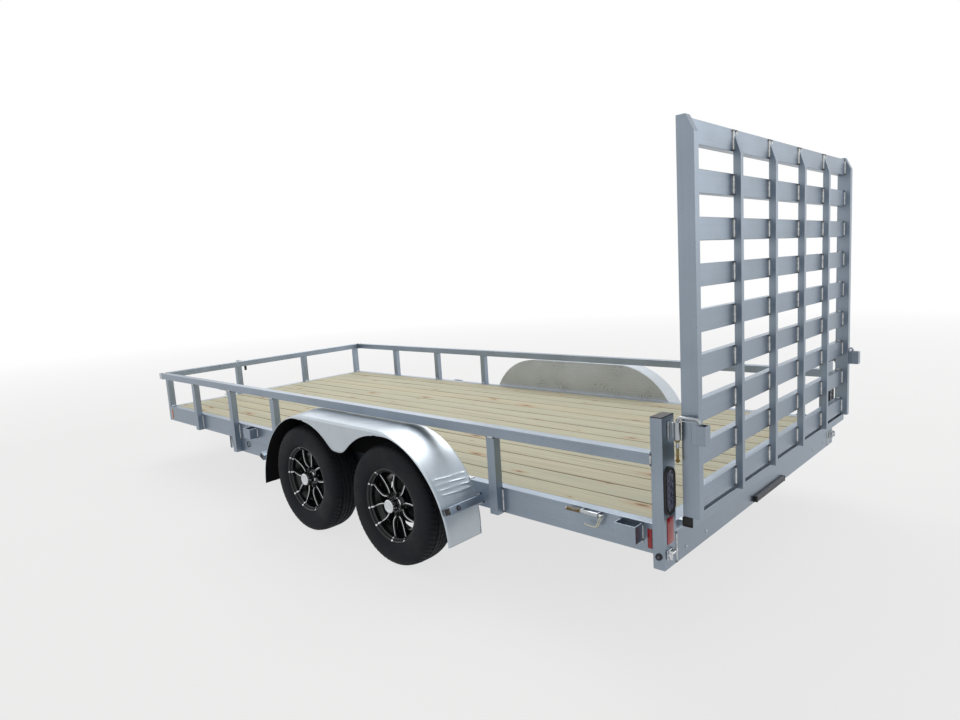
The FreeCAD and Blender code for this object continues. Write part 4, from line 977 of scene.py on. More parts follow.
def gate_beads():
    """Beads down both flanks of each rib where it crosses a rung, and at the ends of the rungs."""
    beads = []
    for index in range(RUNG_COUNT):
        low = RUNG_FOOT + RUNG_PITCH * index
        high = low + RUNG_HEIGHT
        for rib in range(GATE_RIBS):
            middle = -RUNG_END + (rib + 1) * 2 * RUNG_END / (GATE_RIBS + 1)
            for flank in (-1, 1):
                y = middle + flank * 14.0
                beads.append(bead((RUNG_FACE - 1.5, y, low + 3), (RUNG_FACE - 1.5, y, high - 3), 0.0058))
        for end in (-1, 1):
            y = end * RUNG_END
            beads.append(bead((RUNG_FACE - 0.5, y, low + 2), (RUNG_FACE - 0.5, y, high - 2), 0.0048))
            y = end * (RUNG_END - 1)
            beads.append(bead((RUNG_FACE + 3, y, high + 1), (RUNG_FACE + 35, y, high + 1)))
    return beads


SIDE_POSTS = (-2130.0, -35.0, 610.0, 1265.0)
FRONT_POSTS = (370.0, 1040.0)
SUPPORTS = (-2874.0, 355.0)
POCKETS = tour(-2889.0, 1793.6, 11)
RAIL_END_BEADS = (
    ((-2993, 1066, 771), (-2993, 1111, 771)),
    ((-2993, 1066, 823), (-2993, 1111, 823)),
    ((-2993, 1115, 774), (-2993, 1115, 820)),
    ((1913, 1066, 823), (1913, 1111, 823)),
    ((1913, 1066, 771), (1913, 1111, 771)),
    ((1872, 1018, 511), (1919, 1018, 511), 0.0028),
    ((-3045.5, 1014, 346), (-3045.5, 1014, 476), 0.0032),
    ((-2964, 1018, 511), (-2994, 1018, 511), 0.0028),
)


def frame_beads():
    """Beads on the left half of the frame: posts to frame and rail, rail ends, pockets, supports, sill."""
    beads = []
    for x in SIDE_POSTS:
        for flank in (-1, 1):
            beads.append(((x + flank * 26.4, 1071, 386), (x + flank * 26.4, 1071, 507)))
            beads.append(((x + flank * 26.0, 1072, 770.5), (x + flank * 26.0, 1112, 770.5)))
        beads.append(((x - 24, 1071, 512), (x + 24, 1071, 512)))
        beads.append(((x - 24, 1113, 771), (x + 24, 1113, 771)))
    for y in FRONT_POSTS:
        for flank in (-1, 1):
            beads.append(((1922, y + flank * 26.4, 386), (1922, y + flank * 26.4, 507)))
        beads.append(((1922, y - 24, 512), (1922, y + 24, 512)))
    beads.extend(RAIL_END_BEADS)
    for x in SUPPORTS:
        for flank in (-52, 52):
            beads.append(((x + flank, 1071, 432), (x + flank, 1071, 503)))
    for x in POCKETS:
        for flank in (-26, 26):
            beads.append(((x + flank, 1018, 385), (x + flank, 1018, 470), 0.0034))
    return [bead(*ends) for ends in beads]


class TRAILER_OT_welds(bpy.types.Operator):
    """Rippled weld beads on the frame, its posts and rails, and the gate"""
    bl_idname = "trailer.welds"
    bl_label = "Welds"

    def execute(self, context):
        weld_piece("gate_weld_beads", gate_beads(), "gate", "aluminium", 1)
        weld_piece("frame_weld_beads", frame_beads(), "frame", "aluminium", 2)
        return {"FINISHED"}


# Bolts, plugs and small fittings

WASHER = ((0, 0), (1.32, 0), (1.38, 0.06), (1.38, 0.2), (1.3, 0.26), (0, 0.26))
HEX_HEAD = ((0, 0.2), (1.12, 0.2), (1.15, 0.26), (1.15, 0.88), (0.98, 1.0), (0, 1.02))


def bolt_surface(across, axis):
    """Hexagon bolt head about the origin on a washer: the hexagon's top is cut back by a shallow cone."""
    washer = turned(np.array(WASHER) * across / 2, (0, 0, 0), axis, 20)
    head = turned(np.array(HEX_HEAD) * across / 2, (0, 0, 0), axis, 30, hexagon)
    return joined([washer, head])


def dome_surface(radius, axis):
    """Round bolt head: a quarter ellipse turned about its axis, on a short rim."""
    turn = tour(0, math.pi / 2, 7)
    profile = np.concatenate([[(0, -0.001), (radius, -0.001)],
                              np.stack([radius * np.cos(turn), 0.0006 + 0.55 * radius * np.sin(turn)], -1)])
    return turned(profile, (0, 0, 0), axis, 20)


def plug_surface(half_width, half_height, depth, dish):
    """Square plastic plug that faces +Y: rings of a round-cornered square go forward along the rim, over its
    rounded edge and back into a shallow dish."""
    inset = np.array((0.0, 0.0, 0.6, 1.6, 3.4, 4.4, 5.6)) * MM
    front = (-depth, -0.8 * MM, -0.2 * MM, 0.0, 0.0, -dish * 0.6, -dish)
    outlines = [rounded_rectangle(half_width - draw, half_height - draw, 0.003) for draw in inset]
    return capped(stacked(outlines, 1, front))


def tilted(surface, degrees, place):
    """Surface turned about Y and then moved to its place."""
    turn = math.radians(degrees)
    matrix = np.array(((math.cos(turn), 0, math.sin(turn)), (0, 1, 0), (-math.sin(turn), 0, math.cos(turn))))
    return placed(surface, [place], [matrix])


SUPPORT_TILT = -23.0
SUPPORT_HALF_X = 0.025
SUPPORT_HALF_Z = 0.020


def support_centre(sign):
    """Middle of a support tube in the side view: sign is -1 at the rear and 1 at the front."""
    low, high = low_high("fender_supports")
    turn = math.radians(abs(SUPPORT_TILT))
    half = SUPPORT_HALF_X * math.cos(turn) + SUPPORT_HALF_Z * math.sin(turn)
    x = low[0] + half if sign < 0 else high[0] - half
    return x, (low[2] + high[2]) / 2, high[1]


class TRAILER_OT_fasteners(bpy.types.Operator):
    """Bolt heads on the sill, side members, axle pads, coupler and jack flange"""
    bl_idname = "trailer.fasteners"
    bl_label = "Bolts"

    def execute(self, context):
        rear_dome = dome_surface(0.0075, (-1, 0, 0))
        side_dome = dome_surface(0.0072, (0, 1, 0))
        domes = joined([placed(rear_dome, [at(-3045, 928, 382), at(-3045, 737, 382)]),
                        placed(side_dome, [at(-2922, 1070, 424), at(323, 1070, 423)])])
        down = bolt_surface(0.019, (0, 0, -1))
        pads = [at(x + step, 1044, 378) for x in (-1353, -513) for step in (-82, 82)]
        up = bolt_surface(0.016, (0, 0, 1))
        plate = [at(2850, 62, 388), at(2905, 38, 388), at(2868, 88, 388)]
        flange = [at(JACK_X + 46 * math.cos(turn), 46 * math.sin(turn), 396) for turn in (0.5, 2.64)]
        bolts = both_sides(domes, placed(down, pads), placed(up, plate + flange))
        make_piece("bolt_heads", bolts, "frame", *ZINC, smooth=38)
        return {"FINISHED"}


class TRAILER_OT_plugs(bpy.types.Operator):
    """Black plastic plugs in the ends of the hinge tube and the fender supports"""
    bl_idname = "trailer.plugs"
    bl_label = "Plugs"

    def execute(self, context):
        end = placed(plug_surface(0.0218, 0.0198, 0.010, 0.0035), [at(-3107, 1039, 538)])
        make_piece("gate_tube_plugs", both_sides(end), "gate", *PLASTIC, smooth=40)
        plugs = []
        plug = plug_surface(0.0216, 0.0166, 0.012, 0.002)
        for sign in (-1, 1):
            x, z, outer = support_centre(sign)
            plugs.append(tilted(plug, sign * SUPPORT_TILT, (x, outer, z)))
        make_piece("support_plugs", both_sides(*plugs), "frame", *PLASTIC, smooth=40)
        return {"FINISHED"}


# Lamps

def slot_outline(half_width, half_height, count):
    """Outline of an upright slot with round ends: count points at even angles on each end, then its straight
    flanks. Gives (y, z) points."""
    reach = half_height - half_width
    turn = tour(0, math.pi, count)
    top = np.stack([half_width * np.cos(turn), reach + half_width * np.sin(turn)], -1)
    steps = tour(reach, -reach, 20)[1:-1, None]
    left = np.concatenate([np.full_like(steps, -half_width), steps], -1)
    right = np.concatenate([np.full_like(steps, half_width), -steps], -1)
    return np.concatenate([top, left, -top, right])


def slot_skin(half_width, half_height, insets, heights, centre):
    """Slot-shaped piece that faces -X: its outline draws in by each inset as it rises by each height."""
    outlines = [slot_outline(half_width - inset, half_height - inset, 14) for inset in insets]
    return capped((stacked(outlines, 0, -heights) + centre)[:, ::-1])


def tail_lens(centre):
    """Tail lamp's lens: a domed slot. Its height is a low dome plus crossed ridges, the sum of two triangle
    waves that slant up and down the lens and fade at its edge."""
    shares = tour(0, 1, 14)
    outline = slot_outline(0.0270, 0.0850, 26)
    spine = np.stack([np.zeros(len(outline)), np.clip(outline[:, 1], -0.058, 0.058)], -1)
    flat = spine[None] + (outline - spine)[None] * (1 - shares)[:, None, None]
    dome = 0.0045 * np.sin(np.minimum(shares * 1.35, 1) * math.pi / 2)[:, None]
    waves = [np.abs(((flat[..., 1] + lean * flat[..., 0]) / 0.030) % 1 - 0.5) * 2 for lean in (1.1, -1.1)]
    ridge = 0.0026 * (waves[0] + waves[1] - 1) * np.clip(shares * 4, 0, 1)[:, None]
    height = 0.0035 + dome * 0.7 + ridge
    rings = np.stack([-height, flat[..., 0], flat[..., 1]], -1) + centre
    back = stacked([outline], 0, [0.0]) + centre
    return capped(np.concatenate([back, rings])[:, ::-1])


def marker_ring(radius, proud):
    """Round rubber grommet of a small marker lamp that faces +Y: a half-round rim round a recess."""
    profile = np.array(((0.35, 0.0), (1.0, 0.0), (1.0, 0.35), (0.94, 0.75), (0.82, 0.97), (0.7, 1.0),
                        (0.6, 0.85), (0.56, 0.55), (0.0, 0.5))) * (radius, proud)
    profile = np.concatenate([[(0.0, 0.0)], profile])
    return turned(profile, (0, 0, 0), (0, 1, 0), 36)


def marker_dome(radius, proud):
    """Lens of a small marker lamp: a dome with two fine steps."""
    profile = np.array(((0.0, 0.3), (0.55, 0.3), (0.54, 0.72), (0.45, 0.8), (0.43, 0.92), (0.28, 0.96),
                        (0.25, 1.05), (0.0, 1.1))) * (radius, proud)
    return turned(profile, (0, 0, 0), (0, 1, 0), 32)


def ribbed_bar(low, high, pitch):
    """Lens of the bar lamp: a block whose rear face rises in half-round ribs, one each pitch along Y."""
    y = tour(low[1], high[1], int((high[1] - low[1]) / pitch * 6) + 1)
    rib = 0.0030 * np.abs(np.sin((y - low[1]) / pitch * math.pi))
    corner = tour(0, math.pi / 2, 4)
    middle = (low[2] + high[2]) / 2
    half = (high[2] - low[2]) / 2
    z = np.concatenate([[middle - half], middle - half + 0.004 * (1 - np.cos(corner)),
                        middle + half - 0.004 * (1 - np.cos(corner[::-1])), [middle + half]])
    rise = np.concatenate([[0.0], 0.7 + 0.3 * np.sin(corner), 0.7 + 0.3 * np.sin(corner[::-1]), [0.0]])
    x = high[0] - (high[0] - low[0] - 0.0030 + rib[:, None]) * rise[None]
    rings = np.stack([x, np.broadcast_to(y[:, None], x.shape), np.broadcast_to(z, x.shape)], -1)
    return capped(rings)


class TRAILER_OT_lamps(bpy.types.Operator):
    """Tail lamps in rubber grommets, reflectors, round markers and the bar lamp under the sill"""
    bl_idname = "trailer.lamps"
    bl_label = "Lamps and reflectors"

    def execute(self, context):
        centre = at(-3045, 1064, 664)
        insets = np.array((0.0, 0.0, 0.8, 2.2, 3.6, 5.4, 7.4, 9.4, 13.4)) * MM
        heights = np.array((0.0, 4.5, 7.2, 8.8, 8.9, 8.0, 6.0, 4.0, 1.0)) * MM
        rubber = [slot_skin(0.043, 0.1, insets, heights, centre + at(0, 3, 0))]
        clear = [tail_lens(centre - at(0, 3, 0))]
        marker = at(-3019.6, 1114, 398)
        rubber.append(placed(marker_ring(0.014, 0.0088), [marker]))
        clear.append(placed(marker_dome(0.014, 0.0080), [marker]))
        x, z, _ = support_centre(-1)
        turn = math.radians(SUPPORT_TILT)
        face = np.array((x - SUPPORT_HALF_X * math.cos(turn), 1.245, z - SUPPORT_HALF_X * math.sin(turn)))
        toward = np.array(((0, -math.cos(turn), math.sin(turn)), (-1, 0, 0),
                           (0, -math.sin(turn), -math.cos(turn))))
        rubber.append(placed(marker_ring(0.0125, 0.006), [face], [toward]))
        clear.append(placed(marker_dome(0.0125, 0.006), [face], [toward]))
        red = [block((-3047.5, 1039, 445), (-3045, 1089, 555), 1.1),
               block((-2967.7, 1070, 402.5), (-2946.7, 1072.5, 485.5), 1.1)]
        make_piece("tail_lamp_grommets", both_sides(*rubber), "frame", *PLASTIC, smooth=40)
        make_piece("tail_lamp_lenses", both_sides(*clear), "frame", "red_lens", "clear_acrylic", smooth=10)
        make_piece("red_reflectors", both_sides(*red), "frame", "red_lens", "red_acrylic",
                   replaces=["red_lamps"], smooth=40)
        base = [block((-3049, -197, 347.5), (-3045, 197, 380.5), 1.8),
                block((-3064, -197, 349), (-3046, -190, 379), 2),
                block((-3064, 190, 349), (-3046, 197, 379), 2)]
        make_piece("bar_lamp_base", joined(base), "frame", *PLASTIC, smooth=40)
        bar = ribbed_bar(at(-3064.5, -189, 350), at(-3048.5, 189, 378), 0.0126)
        make_piece("bar_lamp_lens", bar, "frame", "red_lens", "smoked_acrylic", smooth=35)
        low, high = low_high("amber_lamps")
        amber = rounded_block((low[0], 1.070, low[2]), (high[0], 1.0725, high[2]), 0.0011)
        make_piece("amber_reflectors", both_sides(amber), "frame", "amber_lens", "amber_acrylic",
                   replaces=["amber_lamps"], smooth=40)
        return {"FINISHED"}


# Latches

BEND_STEPS = 7


def bent_path(corners, radius):
    """Path through corners in millimetres, each rounded by a curve of that radius: it starts and ends on the
    two runs and is pulled towards the corner by a quadratic curve."""
    corners = np.asarray(corners, float) * MM
    radius = radius * MM
    share = tour(0, 1, BEND_STEPS)[:, None]
    pieces = [corners[:1]]
    for before, corner, after in zip(corners[:-2], corners[1:-1], corners[2:]):
        start = corner + (before - corner) * radius / np.linalg.norm(before - corner)
        end = corner + (after - corner) * radius / np.linalg.norm(after - corner)
        pieces.append((1 - share) ** 2 * start + 2 * share * (1 - share) * corner + share ** 2 * end)
    pieces.append(corners[-1:])
    return np.concatenate(pieces)


def rod(corners, bend, radius, up=(0, 1, 0), sides=14):
    """Round rod carried along a bent path. up is any direction that the path never follows."""
    return swept(bent_path(corners, bend), circle(radius * MM, sides), up)


def thread(low, high, radius, pitch):
    """Upright threaded rod: its radius rises and falls as a triangle wave, once each pitch."""
    count = int((high[2] - low[2]) / pitch * 4) + 1
    step = tour(0, 1, count)
    size = 1 - 0.14 * np.abs((step * (count - 1) / 4) % 1 - 0.5) * 2
    path = (np.asarray(low) + (np.asarray(high) - np.asarray(low)) * step[:, None]) * MM
    return swept(path, circle(radius * MM, 16), (0, 1, 0), size)


def sleeve(radius, bore, low, high, place):
    """Upright tube with rounded rims: a closed section turned about Z."""
    profile = np.array(((bore, low), (radius - 1, low), (radius, low + 1), (radius, high - 1),
                        (radius - 1, high), (bore, high))) * MM
    return turned(profile, at(*place, 0), (0, 0, 1), 28, closed=True)


class TRAILER_OT_gate_latches(bpy.types.Operator):
    """Hooked rods in sleeves on the rear posts, with a threaded end and nut, and pins at the posts' feet"""
    bl_idname = "trailer.gate_latches"
    bl_label = "Gate latches"

    def execute(self, context):
        hook = ((-3081, 1058, 842), (-3081, 1058, 966), (-3172, 1058, 966), (-3172, 1058, 900))
        zinc = [rod(hook, 20, 5.9),
                rod(((-3081, 1058, 952), (-3168, 1058, 952)), 2, 2.2, (0, 0, 1), 8),
                sleeve(14, 6.6, 876, 947, (-3081, 1058)),
                block((-3072, 1052, 880), (-3051, 1064, 943), 3),
                block((-3052, 1030, 876), (-3045.2, 1074, 947), 2.5)]
        brass = [thread((-3081, 1058, 784), (-3081, 1058, 878), 5.6, 3.5),
                 placed(bolt_surface(0.017, (0, 0, -1)), [at(-3081, 1058, 875)]),
                 placed(bolt_surface(0.015, (0, 0, 1)), [at(-3081, 1058, 790)])]
        foot = [block((-3050, 1046, 384), (-3045.2, 1098, 424), 2),
                block((-3068, 1049, 388), (-3047, 1054, 426), 2.5),
                block((-3068, 1090, 388), (-3047, 1095, 426), 2.5),
                rod(((-3060, 1040, 411), (-3060, 1103, 411)), 2, 5.0, (0, 0, 1))]
        make_piece("gate_latch_rods", both_sides(*zinc), "frame", *ZINC, replaces=["gate_latches"],
                   smooth=40)
        make_piece("gate_latch_threads", both_sides(*brass), "frame", "zinc_steel", "yellow_chromate_steel",
                   smooth=30)
        make_piece("post_foot_pins", both_sides(*foot), "frame", "zinc_steel", "machined_aluminium",
                   smooth=40)
        return {"FINISHED"}


def coil(start, end, radius, wire, turns):
    """Coil spring along X: a round wire carried along a helix, with its last turn at each end closed up."""
    count = turns * 16 + 1
    step = tour(0, 1, count)
    angle = TURN * turns * step
    close = step - 0.03 * np.sin(TURN * step)
    x = start[0] + (end[0] - start[0]) * close
    path = np.stack([x, start[1] + radius * np.cos(angle), start[2] + radius * np.sin(angle)], -1) * MM
    return swept(path, circle(wire * MM, 8), (1, 0, 0.001))


class TRAILER_OT_side_latches(bpy.types.Operator):
    """Spring bolts on the side members: barrel, lugs, coil spring, rod and bent pull handle"""
    bl_idname = "trailer.side_latches"
    bl_label = "Side latches"

    def execute(self, context):
        y = 1095.0
        z = 500.0
        barrel = turned(np.array(((0, 0), (9, 0), (10, 1.2), (10, 88.8), (9, 90), (0, 90))) * MM,
                        at(-2725, y, z), (1, 0, 0), 28)
        lugs = [block((x, 1070, z - 12), (x + 6, y, z + 9.5), 1.8) for x in (-2725, -2641)]
        rods = rod(((-2745, y, z), (-2555.5, y, z)), 2, 5.4, (0, 0, 1))
        plate = block((-2722, 1070, 481), (-2636, 1073, 487), 1.2)
        bow = ((-2742, 1086, z + 2), (-2716, 1086, 444), (-2716, 1104, 444), (-2742, 1104, z + 4))
        handle = [rod(bow, 5, 2.9, (1, 0, 0), 10),
                  rod(((-2742, 1104, z + 2), (-2742, 1086, z + 2)), 2, 2.9, (1, 0, 0), 10),
                  rod(((-2716, 1095, 443), (-2664, 1095, 443), (-2651, 1095, 449)), 6, 3.2, (0, 1, 0), 10)]
        make_piece("side_latch_barrels", both_sides(barrel, rods, plate, *lugs), "frame", *ZINC,
                   replaces=["side_latches"], smooth=40)
        make_piece("side_latch_handles", both_sides(*handle), "frame", "zinc_steel", "cream_powder_coat",
                   smooth=40)
        spring = coil((-2634, y, z), (-2560, y, z), 7.4, 1.5, 11)
        make_piece("side_latch_springs", both_sides(spring), "frame", "zinc_steel", "yellow_chromate_steel",
                   smooth=60)
        return {"FINISHED"}


# Jack, coupler and small hooks

JACK_X = 2705.0
CRANK_X = 2540.0


def ring_bead(radius, centre):
    """Weld bead round a tube: a seven-sided section carried round a level circle, which swells once every
    three steps."""
    count = 60
    angle = round_angles(count)
    path = np.insert(circle(radius, count), 2, 0, axis=1) + centre
    swell = 1 + 0.16 * np.cos(angle * count / 3)
    points, quads = swept(path * MM, circle(3.4 * MM, 7), (0, 0, 1), swell, closed=True)
    return points, quads, np.zeros(len(points))


class TRAILER_OT_jack(bpy.types.Operator):
    """Jack: rolled tube end, geared head with a cap, cranked handle with a ribbed grip, and a dished foot"""
    bl_idname = "trailer.jack"
    bl_label = "Jack"

    def execute(self, context):
        low, high = low_high("jack_body")
        bottom = low[2] / MM
        centre = at(JACK_X, 0, 0)
        tube = turned(np.array(((24.6, bottom), (27.0, bottom), (28.5, bottom + 1.5), (28.5, bottom + 26),
                                (29.6, bottom + 29), (29.6, bottom + 34), (28.5, bottom + 37), (28.5, 640),
                                (31.0, 643), (31.5, 648), (31.5, 690), (30.0, 697), (32.5, 701), (32.5, 716),
                                (30.5, 722), (24.0, 725), (12.0, 726), (11.0, 731), (9.0, 732.5), (0.0, 733),
                                (0.0, 696), (24.5, 696))) * MM, centre, (0, 0, 1), 56, closed=True)
        flange = turned(np.array(((29, 388), (61, 388), (62, 389), (62, 395), (61, 396), (29, 396))) * MM,
                        centre, (0, 0, 1), 64)
        plate = block((JACK_X - 62, low[1] / MM, 382), (JACK_X + 62, high[1] / MM, 388.2), 1.2)
        crank = rod(((JACK_X, 0, 728), (JACK_X, 0, 740.2), (CRANK_X, 0, 740.2), (CRANK_X, 0, 647)), 10, 6.4,
                    sides=18)
        head = block((JACK_X - 13, -13, 727), (JACK_X + 13, 13, 746.6), 3)
        pin = placed(dome_surface(0.0042, (0, 1, 0)), [at(JACK_X, 13, 738)])
        make_piece("jack_tube", joined([tube, flange, plate, crank, head, pin]), "frame", *ZINC,
                   replaces=["jack_body"], smooth=38)
        along = tour(0, 1, 61)
        ribbed = np.abs(along - 0.5) < 0.44
        ribs = 12.6 + 1.0 * np.cos(TURN * 12 * along) * ribbed - 3.5 * (2 * along - 1) ** 12
        profile = np.stack([np.concatenate([[0.0], ribs, [0.0]]),
                            np.concatenate([[645.0], 645 + 71 * along, [716.0]])], -1) * MM
        grip = turned(profile, at(CRANK_X, 0, 0), (0, 0, 1), 28)
        make_piece("jack_grip", grip, "frame", *PLASTIC, smooth=40)
        rings = [ring_bead(30.5, (JACK_X, 0, height)) for height in (397.5, 380.5)]
        weld_piece("jack_weld_beads", rings, "frame", "zinc_steel", 1)
        collar = turned(np.array(((24.2, 6.0), (33, 6.0), (34, 7), (29, 11), (26, 13.5), (24.2, 14))) * MM,
                        centre, (0, 0, 1), 48)
        foot_rim = turned(np.array(((60, 5.8), (74, 5.8), (75.5, 6.6), (75.8, 9), (75, 11), (73, 12),
                                    (71.5, 10.5), (69, 8), (62, 7), (60, 6.6))) * MM, centre, (0, 0, 1), 64)
        make_piece("jack_foot_rim", joined([collar, foot_rim]), "jack_slider", *ZINC, smooth=38)
        return {"FINISHED"}


class TRAILER_OT_coupler(bpy.types.Operator):
    """Coupler details: ball housing, nose rim, lever pin and spring clip"""
    bl_idname = "trailer.coupler"
    bl_label = "Coupler details"

    def execute(self, context):
        turn = tour(0, math.pi / 2, 9)
        profile = np.concatenate([[(36.5, -6.0)], np.stack([36 * np.cos(turn), 17 * np.sin(turn)], -1)]) * MM
        dome = turned(profile, at(3161, 0, 433.2), (0, 0, 1), 44)
        rim = swept(bent_path(((2990, 46, 386), (3140, 46, 386), (3190, 30, 386), (3198, 0, 386),
                               (3190, -30, 386), (3140, -46, 386), (2990, -46, 386)), 18),
                    circle(3.6 * MM, 12), (0, 0, 1))
        pivot = rod(((3008, -50, 444), (3008, 50, 444)), 2, 6.0, (0, 0, 1), 16)
        nuts = [placed(bolt_surface(0.019, (0, side, 0)), [at(3008, side * 46, 444)]) for side in (-1, 1)]
        cheeks = [block((2996, side * 14 - 2.5, 432), (3020, side * 14 + 2.5, 458), 2.2) for side in (-1, 1)]
        clip = rod(((2950, -16, 452), (2950, 16, 452), (2938, 22, 452), (2926, 16, 446), (2926, -16, 446)),
                   5, 2.0, (1, 0, 0.4), 10)
        make_piece("coupler_details", joined([dome, rim, pivot, clip, *nuts, *cheeks]), "frame", *ZINC,
                   smooth=40)
        return {"FINISHED"}


def box_tube(half_x, half_z, wall, start, end, radius):
    """Rectangular tube along Y: its outer outline at both ends, then its inner outline at both ends, all
    four joined in a ring."""
    outer = rounded_rectangle(half_x, half_z, radius)
    inner = rounded_rectangle(half_x - wall, half_z - wall, radius * 0.6)
    rings = stacked([outer, outer, inner, inner], 1, (start, end, end, start))
    return rings.reshape(-1, 3), grid(4, len(outer), True, True)


class TRAILER_OT_supports(bpy.types.Operator):
    """Fender support tubes, turned so that the face away from the wheels looks up, with their welds"""
    bl_idname = "trailer.supports"
    bl_label = "Fender supports"

    def execute(self, context):
        tubes = []
        beads = []
        for sign in (-1, 1):
            x, z, outer = support_centre(sign)
            tube = box_tube(SUPPORT_HALF_X, SUPPORT_HALF_Z, 0.0032, 1.070, outer, 0.003)
            tubes.append(tilted(tube, sign * SUPPORT_TILT, (x, 0, z)))
            turn = math.radians(sign * SUPPORT_TILT)
            for rise in (22, -22):
                ends = [(x / MM + step * 24 * math.cos(turn) + rise * math.sin(turn), 1071.0,
                         z / MM - step * 24 * math.sin(turn) + rise * math.cos(turn)) for step in (-1, 1)]
                beads.append(bead(*ends, 0.0045))
        make_piece("fender_support_tubes", both_sides(*tubes), "frame", "aluminium",
                   "mill_aluminium_along_y", replaces=["fender_supports"], smooth=30)
        weld_piece("support_weld_beads", beads, "frame", "aluminium", 2)
        return {"FINISHED"}


class TRAILER_OT_slot_shade_rods(bpy.types.Operator):
    """Black bent rods on the under beams as painted shade of a dark slot, and thin plates that close the
    open tube ends
    """
    bl_idname = "trailer.hooks"
    bl_label = "Shade rods and end plates"

    def execute(self, context):
        # Painted shade: a black bent rod put where a dark, shaded slot shows.
        hook = rod(((472, 1066, 376), (470, 1079, 374), (456, 1080, 342), (455, 1069, 338)), 6, 3.6,
                   (1, 0, 0.3), 12)
        make_piece("tie_hooks", both_sides(hook), "frame", *PLASTIC, smooth=40)
        plates = [block((769.6, 1011, 282), (774, 1063.5, 380), 1.2),
                  block((1915.5, 1109, 773.5), (1963.5, 1113.4, 820.5), 1.2)]
        make_piece("tube_end_plates", both_sides(*plates), "frame", "aluminium", "rolled_aluminium_sheet",
                   smooth=40)
        return {"FINISHED"}


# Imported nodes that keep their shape

NODE_FINISHES = (
    ("mill_aluminium_along_x", 2.0,
     ("side_members", "rail_left", "rail_right", "under_beams", "tongue_beams")),
    ("mill_aluminium_along_y", 1.6,
     ("front_member", "rear_sill", "cross_members", "rail_front", "gate_rungs", "gate_hinge_tube")),
    ("mill_aluminium_along_z", 1.6,
     ("rail_posts", "rear_posts", "gate_sides", "gate_ribs", "stake_pockets")),
    ("rolled_aluminium_sheet", 0.8, ("chain_plates", "hinge_lugs")),
    ("rolled_tread_plate", 0.5, ("fender_panels",)),
    ("moulded_black_plastic", 0.8, ("post_caps",)),
    ("bright_zinc_plated_steel", 1.2, ("coupler", "jack_leg")),
    ("hot_dip_galvanised_steel", 1.5, ("axle_beams", "torsion_arms")),
)


class TRAILER_OT_metalwork(bpy.types.Operator):
    """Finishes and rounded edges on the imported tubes, sheets and fittings"""
    bl_idname = "trailer.metalwork"
    bl_label = "Metalwork"

    def execute(self, context):
        for name, edge_mm, nodes in NODE_FINISHES:
            for node in nodes:
                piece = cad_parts[node]
                piece.data.materials.clear()
                piece.data.materials.append(finish(name))
                weld = piece.modifiers.new("merge_corners", "WELD")
                weld.merge_threshold = 1e-5
                bevel = piece.modifiers.new("round_edges", "BEVEL")
                bevel.width = edge_mm * MM
                bevel.segments = 2
                bevel.limit_method = "ANGLE"
                bevel.angle_limit = math.radians(40)
                bevel.harden_normals = True
        return {"FINISHED"}


# Stage

class TRAILER_OT_stage(bpy.types.Operator):
    """Pale floor, soft lights and the camera at the photograph's angle"""
    bl_idname = "trailer.stage"
    bl_label = "Floor, lights and camera"

    def execute(self, context):
        scene = context.scene
        sizes = scene.trailer_sizes
        edge = tour(-FLOOR_REACH, FLOOR_REACH, 9)
        x, y = np.meshgrid(edge, edge, indexing="ij")
        points = np.stack([x, y, np.zeros_like(x)], -1).reshape(-1, 3)
        mesh = bpy.data.meshes.new("floor")
        mesh.from_pydata(points.tolist(), [], grid(9, 9).tolist())
        floor = add_object("floor", mesh)
        floor.data.materials.append(floor_finish(tuple(scene.trailer_colours.floor)))
        light_world(scene)
        for name, place, aim, size, power in STAGE_LIGHTS:
            add_lamp(name, place, aim, size, power)
        view = bpy.data.cameras.new("camera")
        view.sensor_width = 36.0
        view.lens = sizes.lens
        view.clip_end = 200.0
        camera = add_object("camera", view)
        camera.matrix_world = camera_matrix()
        scene.camera = camera
        scene.view_settings.view_transform = "Standard"
        return {"FINISHED"}


STAGE_LIGHTS = (
    ("key_light", (0.5, -3.5, 9.0), (0.0, 0.0, 0.6), 7.0, 620.0),
    ("side_light", (-10.0, -6.5, 4.2), (-1.0, 0.0, 1.0), 5.0, 150.0),
    ("front_light", (9.0, 7.0, 5.0), (0.0, 0.0, 0.8), 6.0, 40.0),
    ("back_light", (9.0, -6.0, 5.0), (-1.0, 0.0, 0.8), 6.0, 80.0),
)
WORLD_LEVEL = 0.7
FLOOR_REACH = 30.0
CAMERA_PLACE = (-4.25031, 3.36118, 1.5802)
CAMERA_YAW = -46.236
CAMERA_PITCH = -7.887
CAMERA_ROLL = -3.575


def axes_matrix(right, up, back, place):
    """Matrix of a camera or lamp with these axes at a place. It looks against its back."""
    matrix = np.eye(4)
    matrix[:3] = np.stack([right, up, back, place], -1)
    return Matrix(matrix.tolist())


def camera_matrix():
    """Camera whose view runs along a heading (yaw, pitch), rolled about it."""
    yaw, pitch, roll = (math.radians(value) for value in (CAMERA_YAW, CAMERA_PITCH, CAMERA_ROLL))
    ahead = np.array((math.cos(pitch) * math.cos(yaw), math.cos(pitch) * math.sin(yaw), math.sin(pitch)))
    level = np.cross(ahead, (0, 0, 1))
    level /= np.linalg.norm(level)
    upright = np.cross(level, ahead)
    right = math.cos(roll) * level + math.sin(roll) * upright
    up = -math.sin(roll) * level + math.cos(roll) * upright
    return axes_matrix(right, up, -ahead, CAMERA_PLACE)


def seen_ray(node):
    """1 for rays that show the background: the camera's own, and those mirrored by metal or passed by
    glass."""
    rays = node("LightPath", output="Is Camera Ray")
    for kind in ("Is Glossy Ray", "Is Transmission Ray"):
        rays = node("Math", {0: rays, 1: node("LightPath", output=kind)}, operation="MAXIMUM")
    return rays


